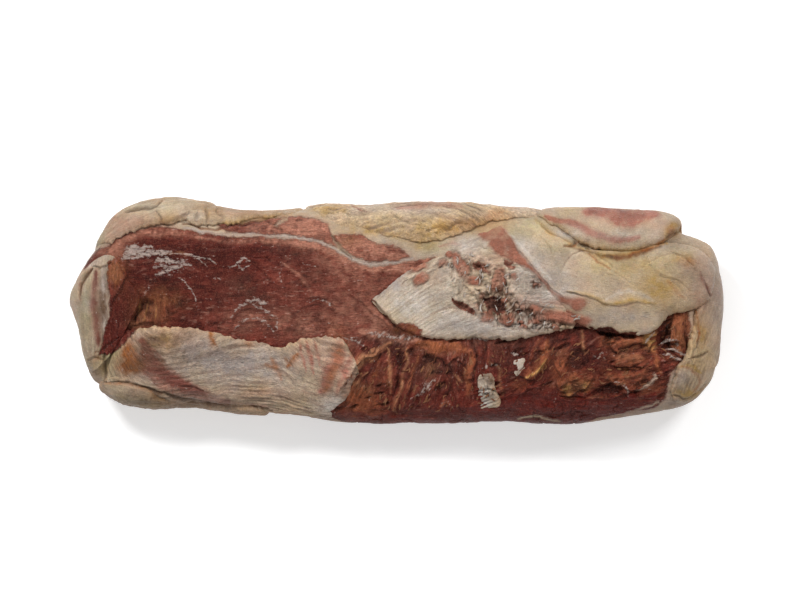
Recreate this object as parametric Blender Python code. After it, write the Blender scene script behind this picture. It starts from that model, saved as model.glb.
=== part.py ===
"""A whole slab of smoked bacon: boneless cured pork side, lean face up, its fat folded over it.

The slab is one loft of rounded sections laid along X. Ten folds of fat lie on it, each a flattened
round draped over the slab's own skin, and one Boolean union makes them a single solid.
Sizes are millimetres until a mesh is written in metres. +X runs along the slab, +Y across it, +Z is up,
and the origin is on the ground under the middle of the slab.
"""

import bmesh
import bpy
import numpy as np

# Driving dimensions, mm
LENGTH = 540.0
THICKNESS = 60.0  # of the bare slab, without swells and folds
REST_CUT = 2.6  # how much the underside is pressed flat where it lies
SECTION_POWER = 2.8  # 2 would be an ellipse across the slab, more is boxier
END_POWER = 5.0  # how blunt the slab's ends are from the side
END_STOP = 0.5  # how far short of its very ends the slab's sections stop
UNEVENNESS = 1.3  # how far the flanks wander in and out
FOLD_ROOT = 5.0  # how deep a fold's underside sits below the slab's skin

# Mesh density
SLAB_STATIONS = 76
SLAB_GIRTH = 36
FOLD_STATIONS = 20
FOLD_GIRTH = 12

NAME = "smoked_bacon"
METRES = 0.001

# The slab's far and near long edges seen from above, as (x, y)
FAR_EDGE = (
    (-270, 6), (-266, 22), (-257, 38), (-246, 54), (-230, 74), (-212, 84), (-187, 88), (-162, 84),
    (-146, 81), (-113, 77), (-80, 81), (-63, 84), (-28, 81), (19, 84), (85, 82), (110, 81),
    (131, 78), (168, 74), (201, 72), (218, 71), (236, 63), (251, 57), (261, 49), (267, 30), (270, 6),
)  # fmt: skip
NEAR_EDGE = (
    (-270, 6), (-265, -8), (-260, -25), (-253, -53), (-240, -64), (-228, -72), (-204, -75),
    (-162, -75), (-129, -80), (-88, -84), (-47, -91), (-20, -94), (19, -94), (55, -92), (85, -92),
    (119, -95), (168, -92), (218, -84), (240, -78), (252, -69), (262, -52), (268, -16), (270, 6),
)  # fmt: skip

# Thickness along the slab as shares of THICKNESS, at (x, share)
THICKNESS_ALONG = ((-270, 0.86), (-170, 0.98), (-20, 0.96), (110, 1.04), (200, 1.06), (270, 0.94))

# Broad swells of the muscles under the top face: centre x and y, reach along x and y, and rise
SWELLS = (
    (-150, 24, 90, 34, 4.0),
    (-30, 2, 34, 30, -3.0),
    (85, 22, 75, 44, 4.5),
    (190, 20, 70, 42, 4.5),
    (118, -56, 120, 26, 3.0),
    (-240, 0, 26, 44, 2.0),
)

# Each fold: the edge it grows from, its free lip, both as (x, y), and how proud the lip stands
FOLDS = {
    "back_fat": (
        ((-84, 87), (-30, 92), (19, 92), (69, 90), (125, 86)),
        ((-66, 76), (-47, 69), (-14, 62), (20, 56), (48, 60), (78, 73), (112, 76)),
        6.0,
    ),
    "upper_strip": (
        ((-182, 95), (-146, 87), (-112, 84), (-76, 87)),
        ((-180, 73), (-160, 68), (-141, 71), (-111, 75), (-76, 80)),
        5.0,
    ),
    "corner_lobe": (
        ((-254, 46), (-236, 75), (-187, 95), (-146, 86)),
        ((-244, 50), (-233, 58), (-221, 64), (-204, 68), (-176, 73), (-150, 81)),
        8.0,
    ),
    "end_roll": (
        ((-256, 36), (-267, 16), (-266, -5), (-260, -25), (-250, -38)),
        ((-232, 37), (-225, 26), (-221, 10), (-224, -6), (-231, -18), (-239, -29)),
        6.0,
    ),
    "lower_sheet": (
        ((-243, -60), (-220, -78), (-162, -81), (-104, -85), (-37, -95)),
        ((-240, -35), (-228, -19), (-162, -15), (-121, -24), (-88, -29), (-28, -25)),
        4.5,
    ),
    "under_flap": (
        ((-248, -62), (-228, -81), (-162, -86), (-104, -89)),
        ((-246, -56), (-234, -53), (-208, -64), (-179, -73), (-142, -75), (-104, -79)),
        7.5,
    ),
    "end_lobe": (
        ((264, 10), (267, -16), (260, -48), (248, -72)),
        ((246, 4), (242, -29), (229, -57), (224, -76)),
        6.0,
    ),
    "centre_sheet": (
        ((-21, 9), (-9, 18), (11, 34), (36, 46), (61, 62), (102, 66), (156, 40)),
        ((-21, 7), (-12, -3), (3, -15), (22, -23), (61, -24), (110, -23), (160, -10)),
        6.0,
    ),
    "dome_fold": (
        ((62, 56), (85, 71), (114, 70), (147, 53), (185, 50), (224, 56), (251, 48), (264, 34)),
        ((74, 40), (110, 18), (135, 0), (156, -14), (180, -19), (209, -18), (228, -4), (261, 4)),
        11.0,
    ),
    "belly_fold": (
        ((112, 80), (135, 80), (168, 82), (201, 80), (222, 76), (238, 64)),
        ((116, 76), (137, 64), (156, 52), (176, 47), (205, 49), (223, 55), (236, 66)),
        13.0,
    ),
}


def smooth_through(knots, values, at):
    """A cubic through the points (knots, values), read at the places asked for."""
    knots, values = np.asarray(knots, float), np.asarray(values, float)
    slopes = np.gradient(values, knots)
    at = np.clip(at, knots[0], knots[-1])
    i = np.clip(np.searchsorted(knots, at, side="right") - 1, 0, len(knots) - 2)
    span = knots[i + 1] - knots[i]
    t = (at - knots[i]) / span
    return (
        values[i] * (1 + 2 * t) * (1 - t) ** 2
        + slopes[i] * span * t * (1 - t) ** 2
        + values[i + 1] * t * t * (3 - 2 * t)
        + slopes[i + 1] * span * t * t * (t - 1)
    )


def around_end(x):
    """Turns x into an angle along the slab, which opens out the blunt ends where the edges turn steep."""
    return np.arcsin(np.clip(2 * x / LENGTH, -1, 1))


def edge_y(edge, x):
    """Where a long edge of the slab lies at x."""
    knots, values = np.array(edge, float).T
    return smooth_through(around_end(knots), values, around_end(x))


def spread(x):
    """The middle line and half width of the slab at x."""
    far, near = edge_y(FAR_EDGE, x), edge_y(NEAR_EDGE, x)
    return (far + near) / 2, np.maximum((far - near) / 2, 1e-6)


def swell(x, y):
    """The sum of the muscles' broad rises, each a bell with its own reach."""
    total = 0.0
    for centre_x, centre_y, reach_x, reach_y, rise in SWELLS:
        total = total + rise * np.exp(-(((x - centre_x) / reach_x) ** 2) - ((y - centre_y) / reach_y) ** 2)
    return total


def signed_power(value, power):
    return np.sign(value) * np.abs(value) ** power


def slab_point(x, turn):
    """A point of the slab's skin: at x along it, and at the angle turn around its section, 0 being the
    far long edge and a quarter turn the top. The section is a superellipse."""
    x = np.clip(x, END_STOP - LENGTH / 2, LENGTH / 2 - END_STOP)
    middle, half = spread(x)
    across, upward = np.cos(turn), np.sin(turn)
    y = middle + half * signed_power(across, 2 / SECTION_POWER)
    centre = THICKNESS * smooth_through(*zip(*THICKNESS_ALONG), x) / 2
    blunt = (1 - np.minimum(np.abs(2 * x / LENGTH), 1) ** END_POWER) ** (1 / END_POWER)
    z = centre * (1 + blunt * signed_power(upward, 2 / SECTION_POWER))
    z = z + np.sqrt(np.maximum(upward, 0)) * blunt * swell(x, y)
    return np.stack([x, y, z], axis=-1)


def lifted(x, turn, lift):
    """The slab's skin moved outwards by lift, along the skin's own normal."""
    step = 1e-3
    along = slab_point(x + step * LENGTH, turn) - slab_point(x - step * LENGTH, turn)
    around = slab_point(x, turn + step) - slab_point(x, turn - step)
    normal = np.cross(around, along)
    normal /= np.linalg.norm(normal, axis=-1, keepdims=True) + 1e-12
    return slab_point(x, turn) + normal * np.asarray(lift)[..., None]


def turn_at(x, y):
    """The angle around the section whose skin lies at (x, y) on the top. A y past the edge goes on
    down the side by as much."""
    middle, half = spread(np.clip(x, END_STOP - LENGTH / 2, LENGTH / 2 - END_STOP))
    share = (y - middle) / half
    inside = np.where(np.abs(share) > 1, np.sign(share) * 2 - share, share)
    turn = np.arccos(np.clip(signed_power(inside, SECTION_POWER / 2), -1, 1))
    past = np.abs(share) > 1
    return np.where(past, np.where(share > 0, -turn, 2 * np.pi - turn), turn)


def curve_at(points, share):
    """The smooth curve through some points, read at shares 0 to 1 of its length."""
    points = np.array(points, float)
    length = np.concatenate([[0], np.cumsum(np.linalg.norm(np.diff(points, axis=0), axis=1))])
    knots = length / length[-1]
    return smooth_through(knots, points[:, 0], share), smooth_through(knots, points[:, 1], share)


def ball(stations, girth):
    """A sphere primitive and, of each of its vertices, the angle from its first pole and around its axis."""
    shape = bmesh.new()
    bmesh.ops.create_uvsphere(shape, u_segments=girth, v_segments=stations, radius=1.0)
    mesh = bpy.data.meshes.new(NAME)
    shape.to_mesh(mesh)
    shape.free()
    places = np.empty(len(mesh.vertices) * 3)
    mesh.vertices.foreach_get("co", places)
    places = places.reshape(-1, 3)
    from_pole = np.arccos(np.clip(-places[:, 2], -1, 1))
    return mesh, from_pole, np.arctan2(places[:, 1], places[:, 0])


def shaped(mesh, points, name, collection):
    """The mesh as an object, its vertices moved to these points and its faces turned outwards."""
    mesh.vertices.foreach_set("co", (points * METRES).ravel())
    shape = bmesh.new()
    shape.from_mesh(mesh)
    bmesh.ops.recalc_face_normals(shape, faces=shape.faces)
    if shape.calc_volume(signed=True) < 0:
        bmesh.ops.reverse_faces(shape, faces=shape.faces)
    shape.to_mesh(mesh)
    shape.free()
    made = bpy.data.objects.new(name, mesh)
    collection.objects.link(made)
    return made


def slab(collection):
    """The bare slab, with uneven flanks and an underside pressed flat where it lies."""
    mesh, from_pole, turn = ball(SLAB_STATIONS, SLAB_GIRTH)
    x = -LENGTH / 2 * np.cos(from_pole)
    uneven = np.sin(x / 31 + 3 * np.sin(turn)) * np.sin(2 * turn + x / 47)
    uneven = uneven + 0.8 * np.sin(x / 19 + 5 * np.cos(turn)) * np.cos(x / 61 + turn)
    points = lifted(x, turn, UNEVENNESS * uneven * np.sin(from_pole))
    points[:, 2] = np.maximum(points[:, 2], REST_CUT) - REST_CUT
    return shaped(mesh, points, NAME, collection)


def fold(name, root, lip, proud, collection):
    """A sheet of fat lying on the slab. Its section runs from the root, sunk in the slab, out to a
    rounded lip that stands proud and overhangs a little; both ends are blunt and sink in too."""
    mesh, from_pole, around = ball(FOLD_STATIONS, FOLD_GIRTH)
    share = (1 - np.cos(from_pole)) / 2
    root_x, root_y = curve_at(root, share)
    lip_x, lip_y = curve_at(lip, share)
    blunt = np.sin(from_pole) ** 0.35
    reach = (1 + blunt * np.cos(around)) / 2
    root_turn, lip_turn = turn_at(root_x, root_y), turn_at(lip_x, lip_y)
    x = root_x + (lip_x - root_x) * reach
    turn = root_turn + (lip_turn - root_turn) * reach
    height = proud * blunt * (1 - (1 - reach) ** 3)
    lift = -FOLD_ROOT + (height + FOLD_ROOT) * (0.5 + 0.5 * signed_power(np.sin(around), 0.5))
    points = lifted(x, turn, lift)
    points[:, 2] = np.maximum(points[:, 2] - REST_CUT, 1.0)
    return shaped(mesh, points, name, collection)


def cured_meat():
    """Cured pork: damp dark-pink lean and cream fat, seen as one colour from a step away."""
    material = bpy.data.materials.new("cured_meat")
    material.use_nodes = True
    surface = material.node_tree.nodes["Principled BSDF"]
    surface.inputs["Base Color"].default_value = (0.36, 0.19, 0.13, 1.0)
    surface.inputs["Roughness"].default_value = 0.45
    surface.inputs["Metallic"].default_value = 0.0
    return material


def joined(body, folds):
    """The slab and its folds as one solid, and the folds removed."""
    union = body.modifiers.new("folds", "BOOLEAN")
    union.operation = "UNION"
    union.operand_type = "COLLECTION"
    union.collection = folds
    union.solver = "MANIFOLD"
    graph = bpy.context.evaluated_depsgraph_get()
    whole = bpy.data.meshes.new_from_object(body.evaluated_get(graph))
    body.modifiers.clear()
    body.data = whole
    for piece in list(folds.objects):
        bpy.data.objects.remove(piece, do_unlink=True)
    bpy.data.collections.remove(folds)


def main():
    for old in list(bpy.data.objects):
        bpy.data.objects.remove(old, do_unlink=True)
    parts = bpy.data.collections.new(NAME)
    folds = bpy.data.collections.new("folds_of_fat")
    for collection in (parts, folds):
        bpy.context.scene.collection.children.link(collection)
    body = slab(parts)
    for name, (root, lip, proud) in FOLDS.items():
        fold(name, root, lip, proud, folds)
    joined(body, folds)
    body.data.materials.clear()
    body.data.materials.append(cured_meat())
    body.data.shade_smooth()


main()
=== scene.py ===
"""The looks of a whole slab of smoked bacon, lean face up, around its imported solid.

Every shape is worked out in millimetres. A place is (x, y) seen from above, from the middle of the slab:
+x runs along it and +y across it. The slab is a loft of rounded sections and each fold of fat is a sheet
draped over the slab's skin. Creases, ridges, holes, fibres and lumps are relief in the meshes; the colours of
the lean and of the fat and the depth of the lean reach the material as attributes of the vertices.
"""

import bpy
import numpy as np
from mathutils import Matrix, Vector


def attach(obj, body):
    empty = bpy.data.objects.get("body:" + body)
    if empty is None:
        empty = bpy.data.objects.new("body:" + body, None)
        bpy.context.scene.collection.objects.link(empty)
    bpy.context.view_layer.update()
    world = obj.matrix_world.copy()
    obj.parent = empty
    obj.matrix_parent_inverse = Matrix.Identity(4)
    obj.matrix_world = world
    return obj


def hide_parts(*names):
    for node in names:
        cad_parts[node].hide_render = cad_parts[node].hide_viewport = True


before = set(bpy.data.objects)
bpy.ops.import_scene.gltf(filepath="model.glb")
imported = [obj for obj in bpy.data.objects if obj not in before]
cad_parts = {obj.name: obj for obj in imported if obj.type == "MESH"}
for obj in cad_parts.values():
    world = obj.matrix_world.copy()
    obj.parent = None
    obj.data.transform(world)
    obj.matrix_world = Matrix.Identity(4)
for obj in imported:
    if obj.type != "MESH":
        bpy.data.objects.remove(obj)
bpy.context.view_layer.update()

MM = 0.001
NODE = "smoked_bacon"
BODY = "root"

# The slab, as the solid has it
LENGTH = 540.0
THICKNESS = 60.0
REST_CUT = 2.6
SECTION_POWER = 2.8
END_POWER = 5.0
END_STOP = 0.5
FOLD_ROOT = 5.0
# Both ends of a fold are rounded over this far
END_ROUNDING = 7.0

# The eye: a long lens straight above, whose frame is this wide where the slab's outline lies
VIEW_WIDTH = 660.8
VIEW_CENTRE = (2.9, 7.9)
OUTLINE_HEIGHT = 28.0
LENS = 200.0
SENSOR = 36.0
# The top face is nearer the eye than the outline is, so a place read off it is drawn in by this much
TOP_DRAWN_IN = 0.991

# Mesh density: the slab's stations along, samples over the top and samples underneath, and the folds'
# spacing in mm
SLAB_MESH = (400, 160, 36)
FOLD_SPACING = 0.8

# Parts of the slab's face that are made finer than the rest: where they begin and end along the slab, and
# around it in degrees
FINE_AREAS = {
    "smooth_lean": ((-262, 62), (28, 114)),
    "torn_lean": ((-56, 243), (80, 187)),
}
FINE_SPACING = 0.65
# Around the slab a radian counts as so many mm, and where two meshes of the face overlap the one below gives
# way by so many
RADIAN_IN_MM = 60
GIVES_WAY = 2.0

# The heights of the meat's upper face are kept on a lattice: its step in mm, and its places along and across
LATTICE_STEP = 1.5
LATTICE = (400, 160)

# How far apart the drawn lines in the fat are, and how large the chips of its crust, in mm
LINE_PITCH = 2.6
CHIP_SIZE = 4.2

# The lean's own colours, from the darkest to the palest
LEAN_STOPS = ("#230908", "#3c110d", "#551e17", "#6f2f25", "#8b4b3d", "#a76854", "#bf8973")

# The slab's long edges seen from above, how its thickness changes along it, and the swells of its muscles:
# centre, reach along x and along y, and height, in mm
FAR_EDGE = (
    (-270, 6), (-266, 22), (-257, 38), (-246, 54), (-230, 74), (-212, 84), (-187, 88), (-162, 84),
    (-146, 81), (-113, 77), (-80, 81), (-63, 84), (-28, 81), (19, 84), (85, 82), (110, 81),
    (131, 78), (168, 74), (201, 72), (218, 71), (236, 63), (251, 57), (261, 49), (267, 30), (270, 6),
)
NEAR_EDGE = (
    (-270, 6), (-265, -8), (-260, -25), (-253, -53), (-240, -64), (-228, -72), (-204, -75),
    (-162, -75), (-129, -80), (-88, -84), (-47, -91), (-20, -94), (19, -94), (55, -92), (85, -92),
    (119, -95), (168, -92), (218, -84), (240, -78), (252, -69), (262, -52), (268, -16), (270, 6),
)
THICKNESS_ALONG = ((-270, 0.86), (-170, 0.98), (-20, 0.96), (110, 1.04), (200, 1.06), (270, 0.94))
SWELLS = (
    ((-150, 24), 90, 34, 4.0),
    ((-30, 2), 34, 30, -3.0),
    ((85, 22), 75, 44, 4.5),
    ((190, 20), 70, 42, 4.5),
    ((118, -56), 120, 26, 3.0),
    ((-240, 0), 26, 44, 2.0),
)

# Each fold: the edge it grows from, its free lip, how proud it stands along the lip, how ragged the lip
# is (mm), the run of its fine lines (degrees, and how they bend along x, or None where they follow the
# lip) and how deep they are
FOLDS = {
    "back_fat": (
        ((-84, 87), (-30, 90), (19, 91), (69, 89), (142, 84)),
        ((-66, 76), (-47, 69), (-14, 62), (20, 56), (48, 60), (78, 72), (106, 76), (136, 80)),
        (3, 6, 6.5, 6, 5, 4),
        0.6,
        None,
        0.45,
    ),
    "upper_strip": (
        ((-182, 95), (-146, 87), (-112, 84), (-76, 87)),
        ((-180, 73), (-160, 68), (-141, 71), (-111, 75), (-76, 80)),
        (5, 5, 5, 3),
        0.8,
        (0, 0.0),
        0.2,
    ),
    "corner_lobe": (
        ((-254, 46), (-236, 75), (-187, 95), (-146, 86)),
        ((-243, 50), (-233, 57), (-221, 64), (-204, 68), (-190, 70), (-176, 73), (-162, 78), (-150, 82)),
        (3, 5, 6, 6, 7),
        0.6,
        (20, 0.0),
        0.2,
    ),
    "end_roll": (
        ((-256, 36), (-265, 16), (-264, -5), (-259, -25), (-250, -38)),
        ((-226, 37), (-223, 26), (-212, 10), (-217, -4), (-226, -16), (-241, -31)),
        (3, 5, 5.5, 5, 4),
        0.8,
        (88, 0.0),
        0.2,
    ),
    "lower_sheet": (
        ((-243, -60), (-220, -78), (-162, -81), (-104, -85), (-29, -95.5)),
        (
            (-236, -31), (-225, -19), (-216, -16), (-203, -14), (-187, -14), (-170, -15), (-158, -17),
            (-137, -23), (-117, -26), (-92, -30), (-83, -25), (-63, -22), (-47, -23), (-28, -26),
        ),
        (5, 4.5, 3.5, 3, 3.5),
        0.5,
        None,
        0.4,
    ),
    "under_flap": (
        ((-248, -62), (-228, -81), (-162, -86), (-104, -89)),
        ((-246, -56), (-234, -53), (-208, -63), (-195, -70), (-179, -73), (-142, -75), (-104, -79)),
        (6, 7.5, 7, 5.5),
        0.7,
        (-8, 0.0),
        0.25,
    ),
    "end_lobe": (
        ((264, 10), (267, -16), (260, -48), (248, -72)),
        ((246, 4), (242, -29), (231, -50), (228, -60), (226, -76)),
        (5, 6, 6, 4),
        1.2,
        (70, 0.0),
        0.2,
    ),
    "centre_sheet": (
        ((-21, 9), (-9, 18), (11, 34), (36, 46), (61, 62), (102, 66), (156, 40)),
        ((-21, 7), (-12, -3), (3, -15), (22, -23), (61, -24), (110, -23), (160, -10)),
        (3.5, 5, 6, 6, 6),
        1.0,
        (38, 0.0028),
        0.2,
    ),
    "dome_fold": (
        ((62, 56), (85, 70), (114, 72), (147, 53), (185, 50), (224, 56), (251, 48), (264, 34)),
        (
            (70, 48), (95, 36), (118, 20), (138, -2), (156, -14), (180, -19), (209, -19), (228, -4),
            (244, 0), (261, 4),
        ),
        (5, 6.5, 8, 11, 11, 10, 7),
        0.5,
        (-14, 0.0),
        0.03,
    ),
    "belly_fold": (
        ((112, 80), (135, 80), (168, 82), (201, 80), (222, 76), (238, 64)),
        ((116, 76), (137, 64), (156, 52), (176, 47), (205, 49), (223, 55), (230, 62), (236, 68)),
        (4, 10, 13, 13, 9),
        0.4,
        (-3, 0.0),
        0.05,
    ),
    "long_flake": (
        ((65, -52), (66, -68), (64, -84)),
        ((81, -51), (82, -65), (86, -73), (87, -82)),
        (1.6, 1.8, 1.6),
        0.6,
        (20, 0.0),
        0.4,
    ),
    "short_flake": (
        ((95, -40), (95, -48), (97, -56)),
        ((104, -38), (108, -43), (101, -55)),
        (1.4, 1.6, 1.4),
        0.8,
        (20, 0.0),
        0.1,
    ),
}

# A lip that swells up over so many mm instead of standing up at once
SOFT_LIPS = {"back_fat": 16.0}

# A root that shows and is torn: how far it strays to either side (mm)
TORN_ROOTS = {"centre_sheet": 3.0}

# A torn end of a fold, as steps along x (mm) at shares of the way from its root to its lip
TORN_ENDS = {
    "lower_sheet": (
        (0, -2), (0.08, -1), (0.17, 0), (0.23, -12), (0.33, -22), (0.44, -23), (0.54, -17), (0.62, -12),
        (0.7, -8), (0.78, -6), (0.82, -2), (0.88, -1), (0.96, -4), (1, -6),
    ),
}

# Paths that relief and colour both follow: the seam of fat along the lean, the rib and the crease of the
# rolled end, and the strands, ribs and threads of the torn lean
PATHS = {
    "seam": (
        (-176, 68), (-162, 65), (-149, 62), (-136, 60), (-121, 62), (-108, 62), (-96, 61), (-80, 60),
        (-66, 57), (-55, 52), (-45, 47), (-37, 42), (-27, 38), (-14, 38), (0, 39), (14, 42),
    ),
    "roll_rib": ((-244, 33), (-242, 14), (-242, -5), (-241, -24)),
    "roll_crease": ((-250, -35), (-244, -33), (-239, -30), (-230, -23)),
    "sheet_strand": ((-5, -28), (-14, -33), (-19, -38), (-28, -41), (-35, -48), (-44, -59), (-47, -68)),
    "short_strand": ((-24, -52), (-32, -60), (-40, -71)),
    "second_strand": ((-7, -33), (-6, -41), (-5, -49), (-5, -59), (-5, -70)),
    "third_strand": ((9, -33), (9, -44), (5, -56), (4, -65), (-1, -76), (-3, -85)),
    "shelf": ((18, -28), (29, -30), (41, -29), (51, -32), (59, -35)),
    "hanging_strand": ((61, -33), (63, -42), (59, -50), (58, -58), (60, -68)),
    "low_curl": ((36, -78), (42, -76), (47, -81)),
    "low_rib": ((157, -73), (168, -71), (182, -71)),
    "upper_thread": ((217, -29), (222, -26), (228, -25), (234, -27)),
    "middle_thread": ((221, -33), (229, -33), (238, -37), (244, -41)),
    "lower_thread": ((219, -37), (226, -38), (233, -41), (239, -42)),
}

# Lean that shows on the slab itself, as outlines
LEAN_ON_SLAB = {
    "lean_face": (
        (-261, 39), (-252, 49), (-240, 52), (-233, 57), (-222, 64), (-205, 68), (-190, 69), (-176, 66),
        (-162, 63), (-149, 61), (-136, 59), (-111, 60), (-80, 58), (-65, 55), (-53, 50), (-43, 43),
        (-30, 37), (-17, 35), (0, 37), (15, 40), (36, 43), (61, 39), (61, -25), (28, -35), (-22, -37),
        (-55, -35), (-121, -35), (-195, -35), (-235, -38), (-252, -25), (-258, 8),
    ),
    "second_band": (
        (-147, 70), (-141, 71), (-129, 71), (-114, 74), (-103, 76), (-83, 76), (-70, 75), (-58, 71),
        (-55, 63), (-50, 52), (-62, 57), (-76, 61), (-88, 62), (-111, 63), (-129, 62), (-141, 64),
    ),
    "pink_oval": (
        (-53, 61), (-47, 62), (-38, 62), (-30, 61), (-22, 57), (-16, 54), (-7, 53), (0, 52), (8, 46),
        (11, 43), (0, 41), (-16, 39), (-26, 41), (-37, 45), (-45, 52), (-51, 57),
    ),
    "lower_lean": (
        (-50, -30), (-30, -22), (3, -10), (52, 0), (135, 8), (209, 8), (234, 3), (242, -2), (242, -29),
        (237, -42), (226, -52), (224, -63), (223, -73), (216, -81), (203, -85), (186, -91), (171, -98),
        (156, -108), (61, -108), (-38, -108), (-65, -101), (-62, -75), (-55, -54),
    ),
}

# Lean inside the folded fat, as outlines
LEAN_IN_FOLDS = {
    "roll_lean": (
        (-240, 39), (-234, 44), (-225, 41), (-217, 33), (-215, 24), (-204, 16), (-202, 5), (-210, -10),
        (-222, -25), (-235, -37), (-247, -37), (-243, -24), (-238, -7), (-237, 9), (-239, 24),
    ),
    "lean_at_tip": (
        (0, -13), (6, -10), (14, -12), (22, -16), (20, -22), (9, -22), (2, -19),
    ),
}

# Muscle that shows through the folded fat, as outlines
MUSCLE_IN_FAT = {
    "tailed_muscle": (
        (64, 64), (72, 66), (85, 70), (90, 67), (94, 61), (99, 54), (102, 47), (109, 39), (115, 33),
        (122, 24), (127, 17), (132, 13), (140, 9), (154, 9), (156, 4), (152, -1), (145, 0), (137, 6),
        (128, 12), (123, 19), (114, 29), (105, 36), (95, 39), (85, 43), (81, 48), (76, 52), (77, 57),
        (71, 59),
    ),
    "brown_red_band": (
        (109, 0), (123, -1), (135, 0), (147, -2), (158, -5), (161, -9), (157, -14), (145, -13), (133, -13),
        (123, -10), (114, -7),
    ),
}

# Small lean islands in the torn middle: centre, half length, half width (mm) and slant (degrees)
LEAN_ISLANDS = (
    ((44, 47), 5, 3.4, -25), ((53, 36), 14, 5.2, -66), ((64, 24), 6.5, 4, -10), ((71, 33), 7, 2.2, -10),
    ((84, 24), 10, 7, 80), ((75, -7), 6.5, 3.6, 15), ((92, -8), 7.5, 5.2, 10), ((97, 27), 3, 3, 0),
    ((116, -9), 6, 4, 0), ((116, 0), 9, 3.4, -10), ((20, 25), 8, 5.4, 25), ((19, 35), 9, 3.6, 20),
    ((38, 39), 5, 3, 40), ((171, -38), 5, 4, 20),
)

# Open holes and hollows between torn bundles: depth (mm) and outline
HOLES = {
    "gash": (3.4, (44, 10), (51, 7), (59, 3), (66, -3), (61, -2), (52, 2), (46, 6)),
    "open_hole": (4.5, (72, 9), (79, 11), (85, 9), (90, 5), (90, -1), (83, -3), (77, 0), (73, 4)),
    "side_hole": (3.0, (62, 40), (67, 38), (74, 36), (72, 33), (66, 34)),
    "muscle_notch": (2.6, (89, 40), (95, 39), (100, 35), (97, 34), (91, 37)),
    "small_hole": (2.4, (97, 0), (104, 1), (104, -2), (99, -3)),
    "roll_hollow": (2.6, (-209, 11), (-204, 9), (-204, 5), (-211, -3), (-218, -9), (-214, 1)),
    "end_crevice": (5.0, (214, -29), (217, -20), (223, -14), (228, -9), (228, -15), (222, -23), (218, -29)),
    "red_crevice": (3.6, (218, -32), (224, -27), (233, -27), (236, -31), (228, -31), (221, -33)),
    "mound_crevice": (4.0, (184, -33), (191, -30), (201, -28), (207, -29), (198, -33), (190, -35)),
    "lump_crevice": (3.0, (180, -47), (193, -47), (205, -47), (204, -49), (191, -50), (181, -49)),
    "low_hollow": (2.6, (160, -70), (168, -63), (178, -61), (186, -65), (183, -69), (171, -71)),
    "under_dome": (3.6, (160, -14), (173, -16), (185, -18), (198, -19), (196, -23), (181, -22), (166, -19)),
    "wine_hollow": (2.2, (140, -47), (145, -35), (153, -31), (161, -35), (160, -43), (150, -50)),
    "mid_tear": (2.6, (1, -35), (6, -35), (5, -47), (3, -58), (-2, -71), (0, -57)),
    "right_tear": (2.2, (115, -35), (121, -35), (119, -45), (112, -53), (109, -47)),
}

# Seams and streaks of fat and gristle in the lean: half width (mm) and path
FAT_STREAKS = (
    (0.7, *PATHS["seam"]),
    (0.4, (-240, 53), (-233, 58), (-222, 65), (-205, 69), (-190, 70), (-176, 69)),
    (1.4, (-101, 69), (-96, 72), (-90, 75)),
    (1.0, (-54, 61), (-49, 52), (-43, 47)),
    (1.5, (100, -92), (110, -90), (123, -91), (136, -94)),
    (1.2, (190, -87), (198, -84), (208, -80), (218, -76)),
    (1.4, (198, -66), (206, -63), (212, -59), (214, -55), (212, -52)),
)

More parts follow.
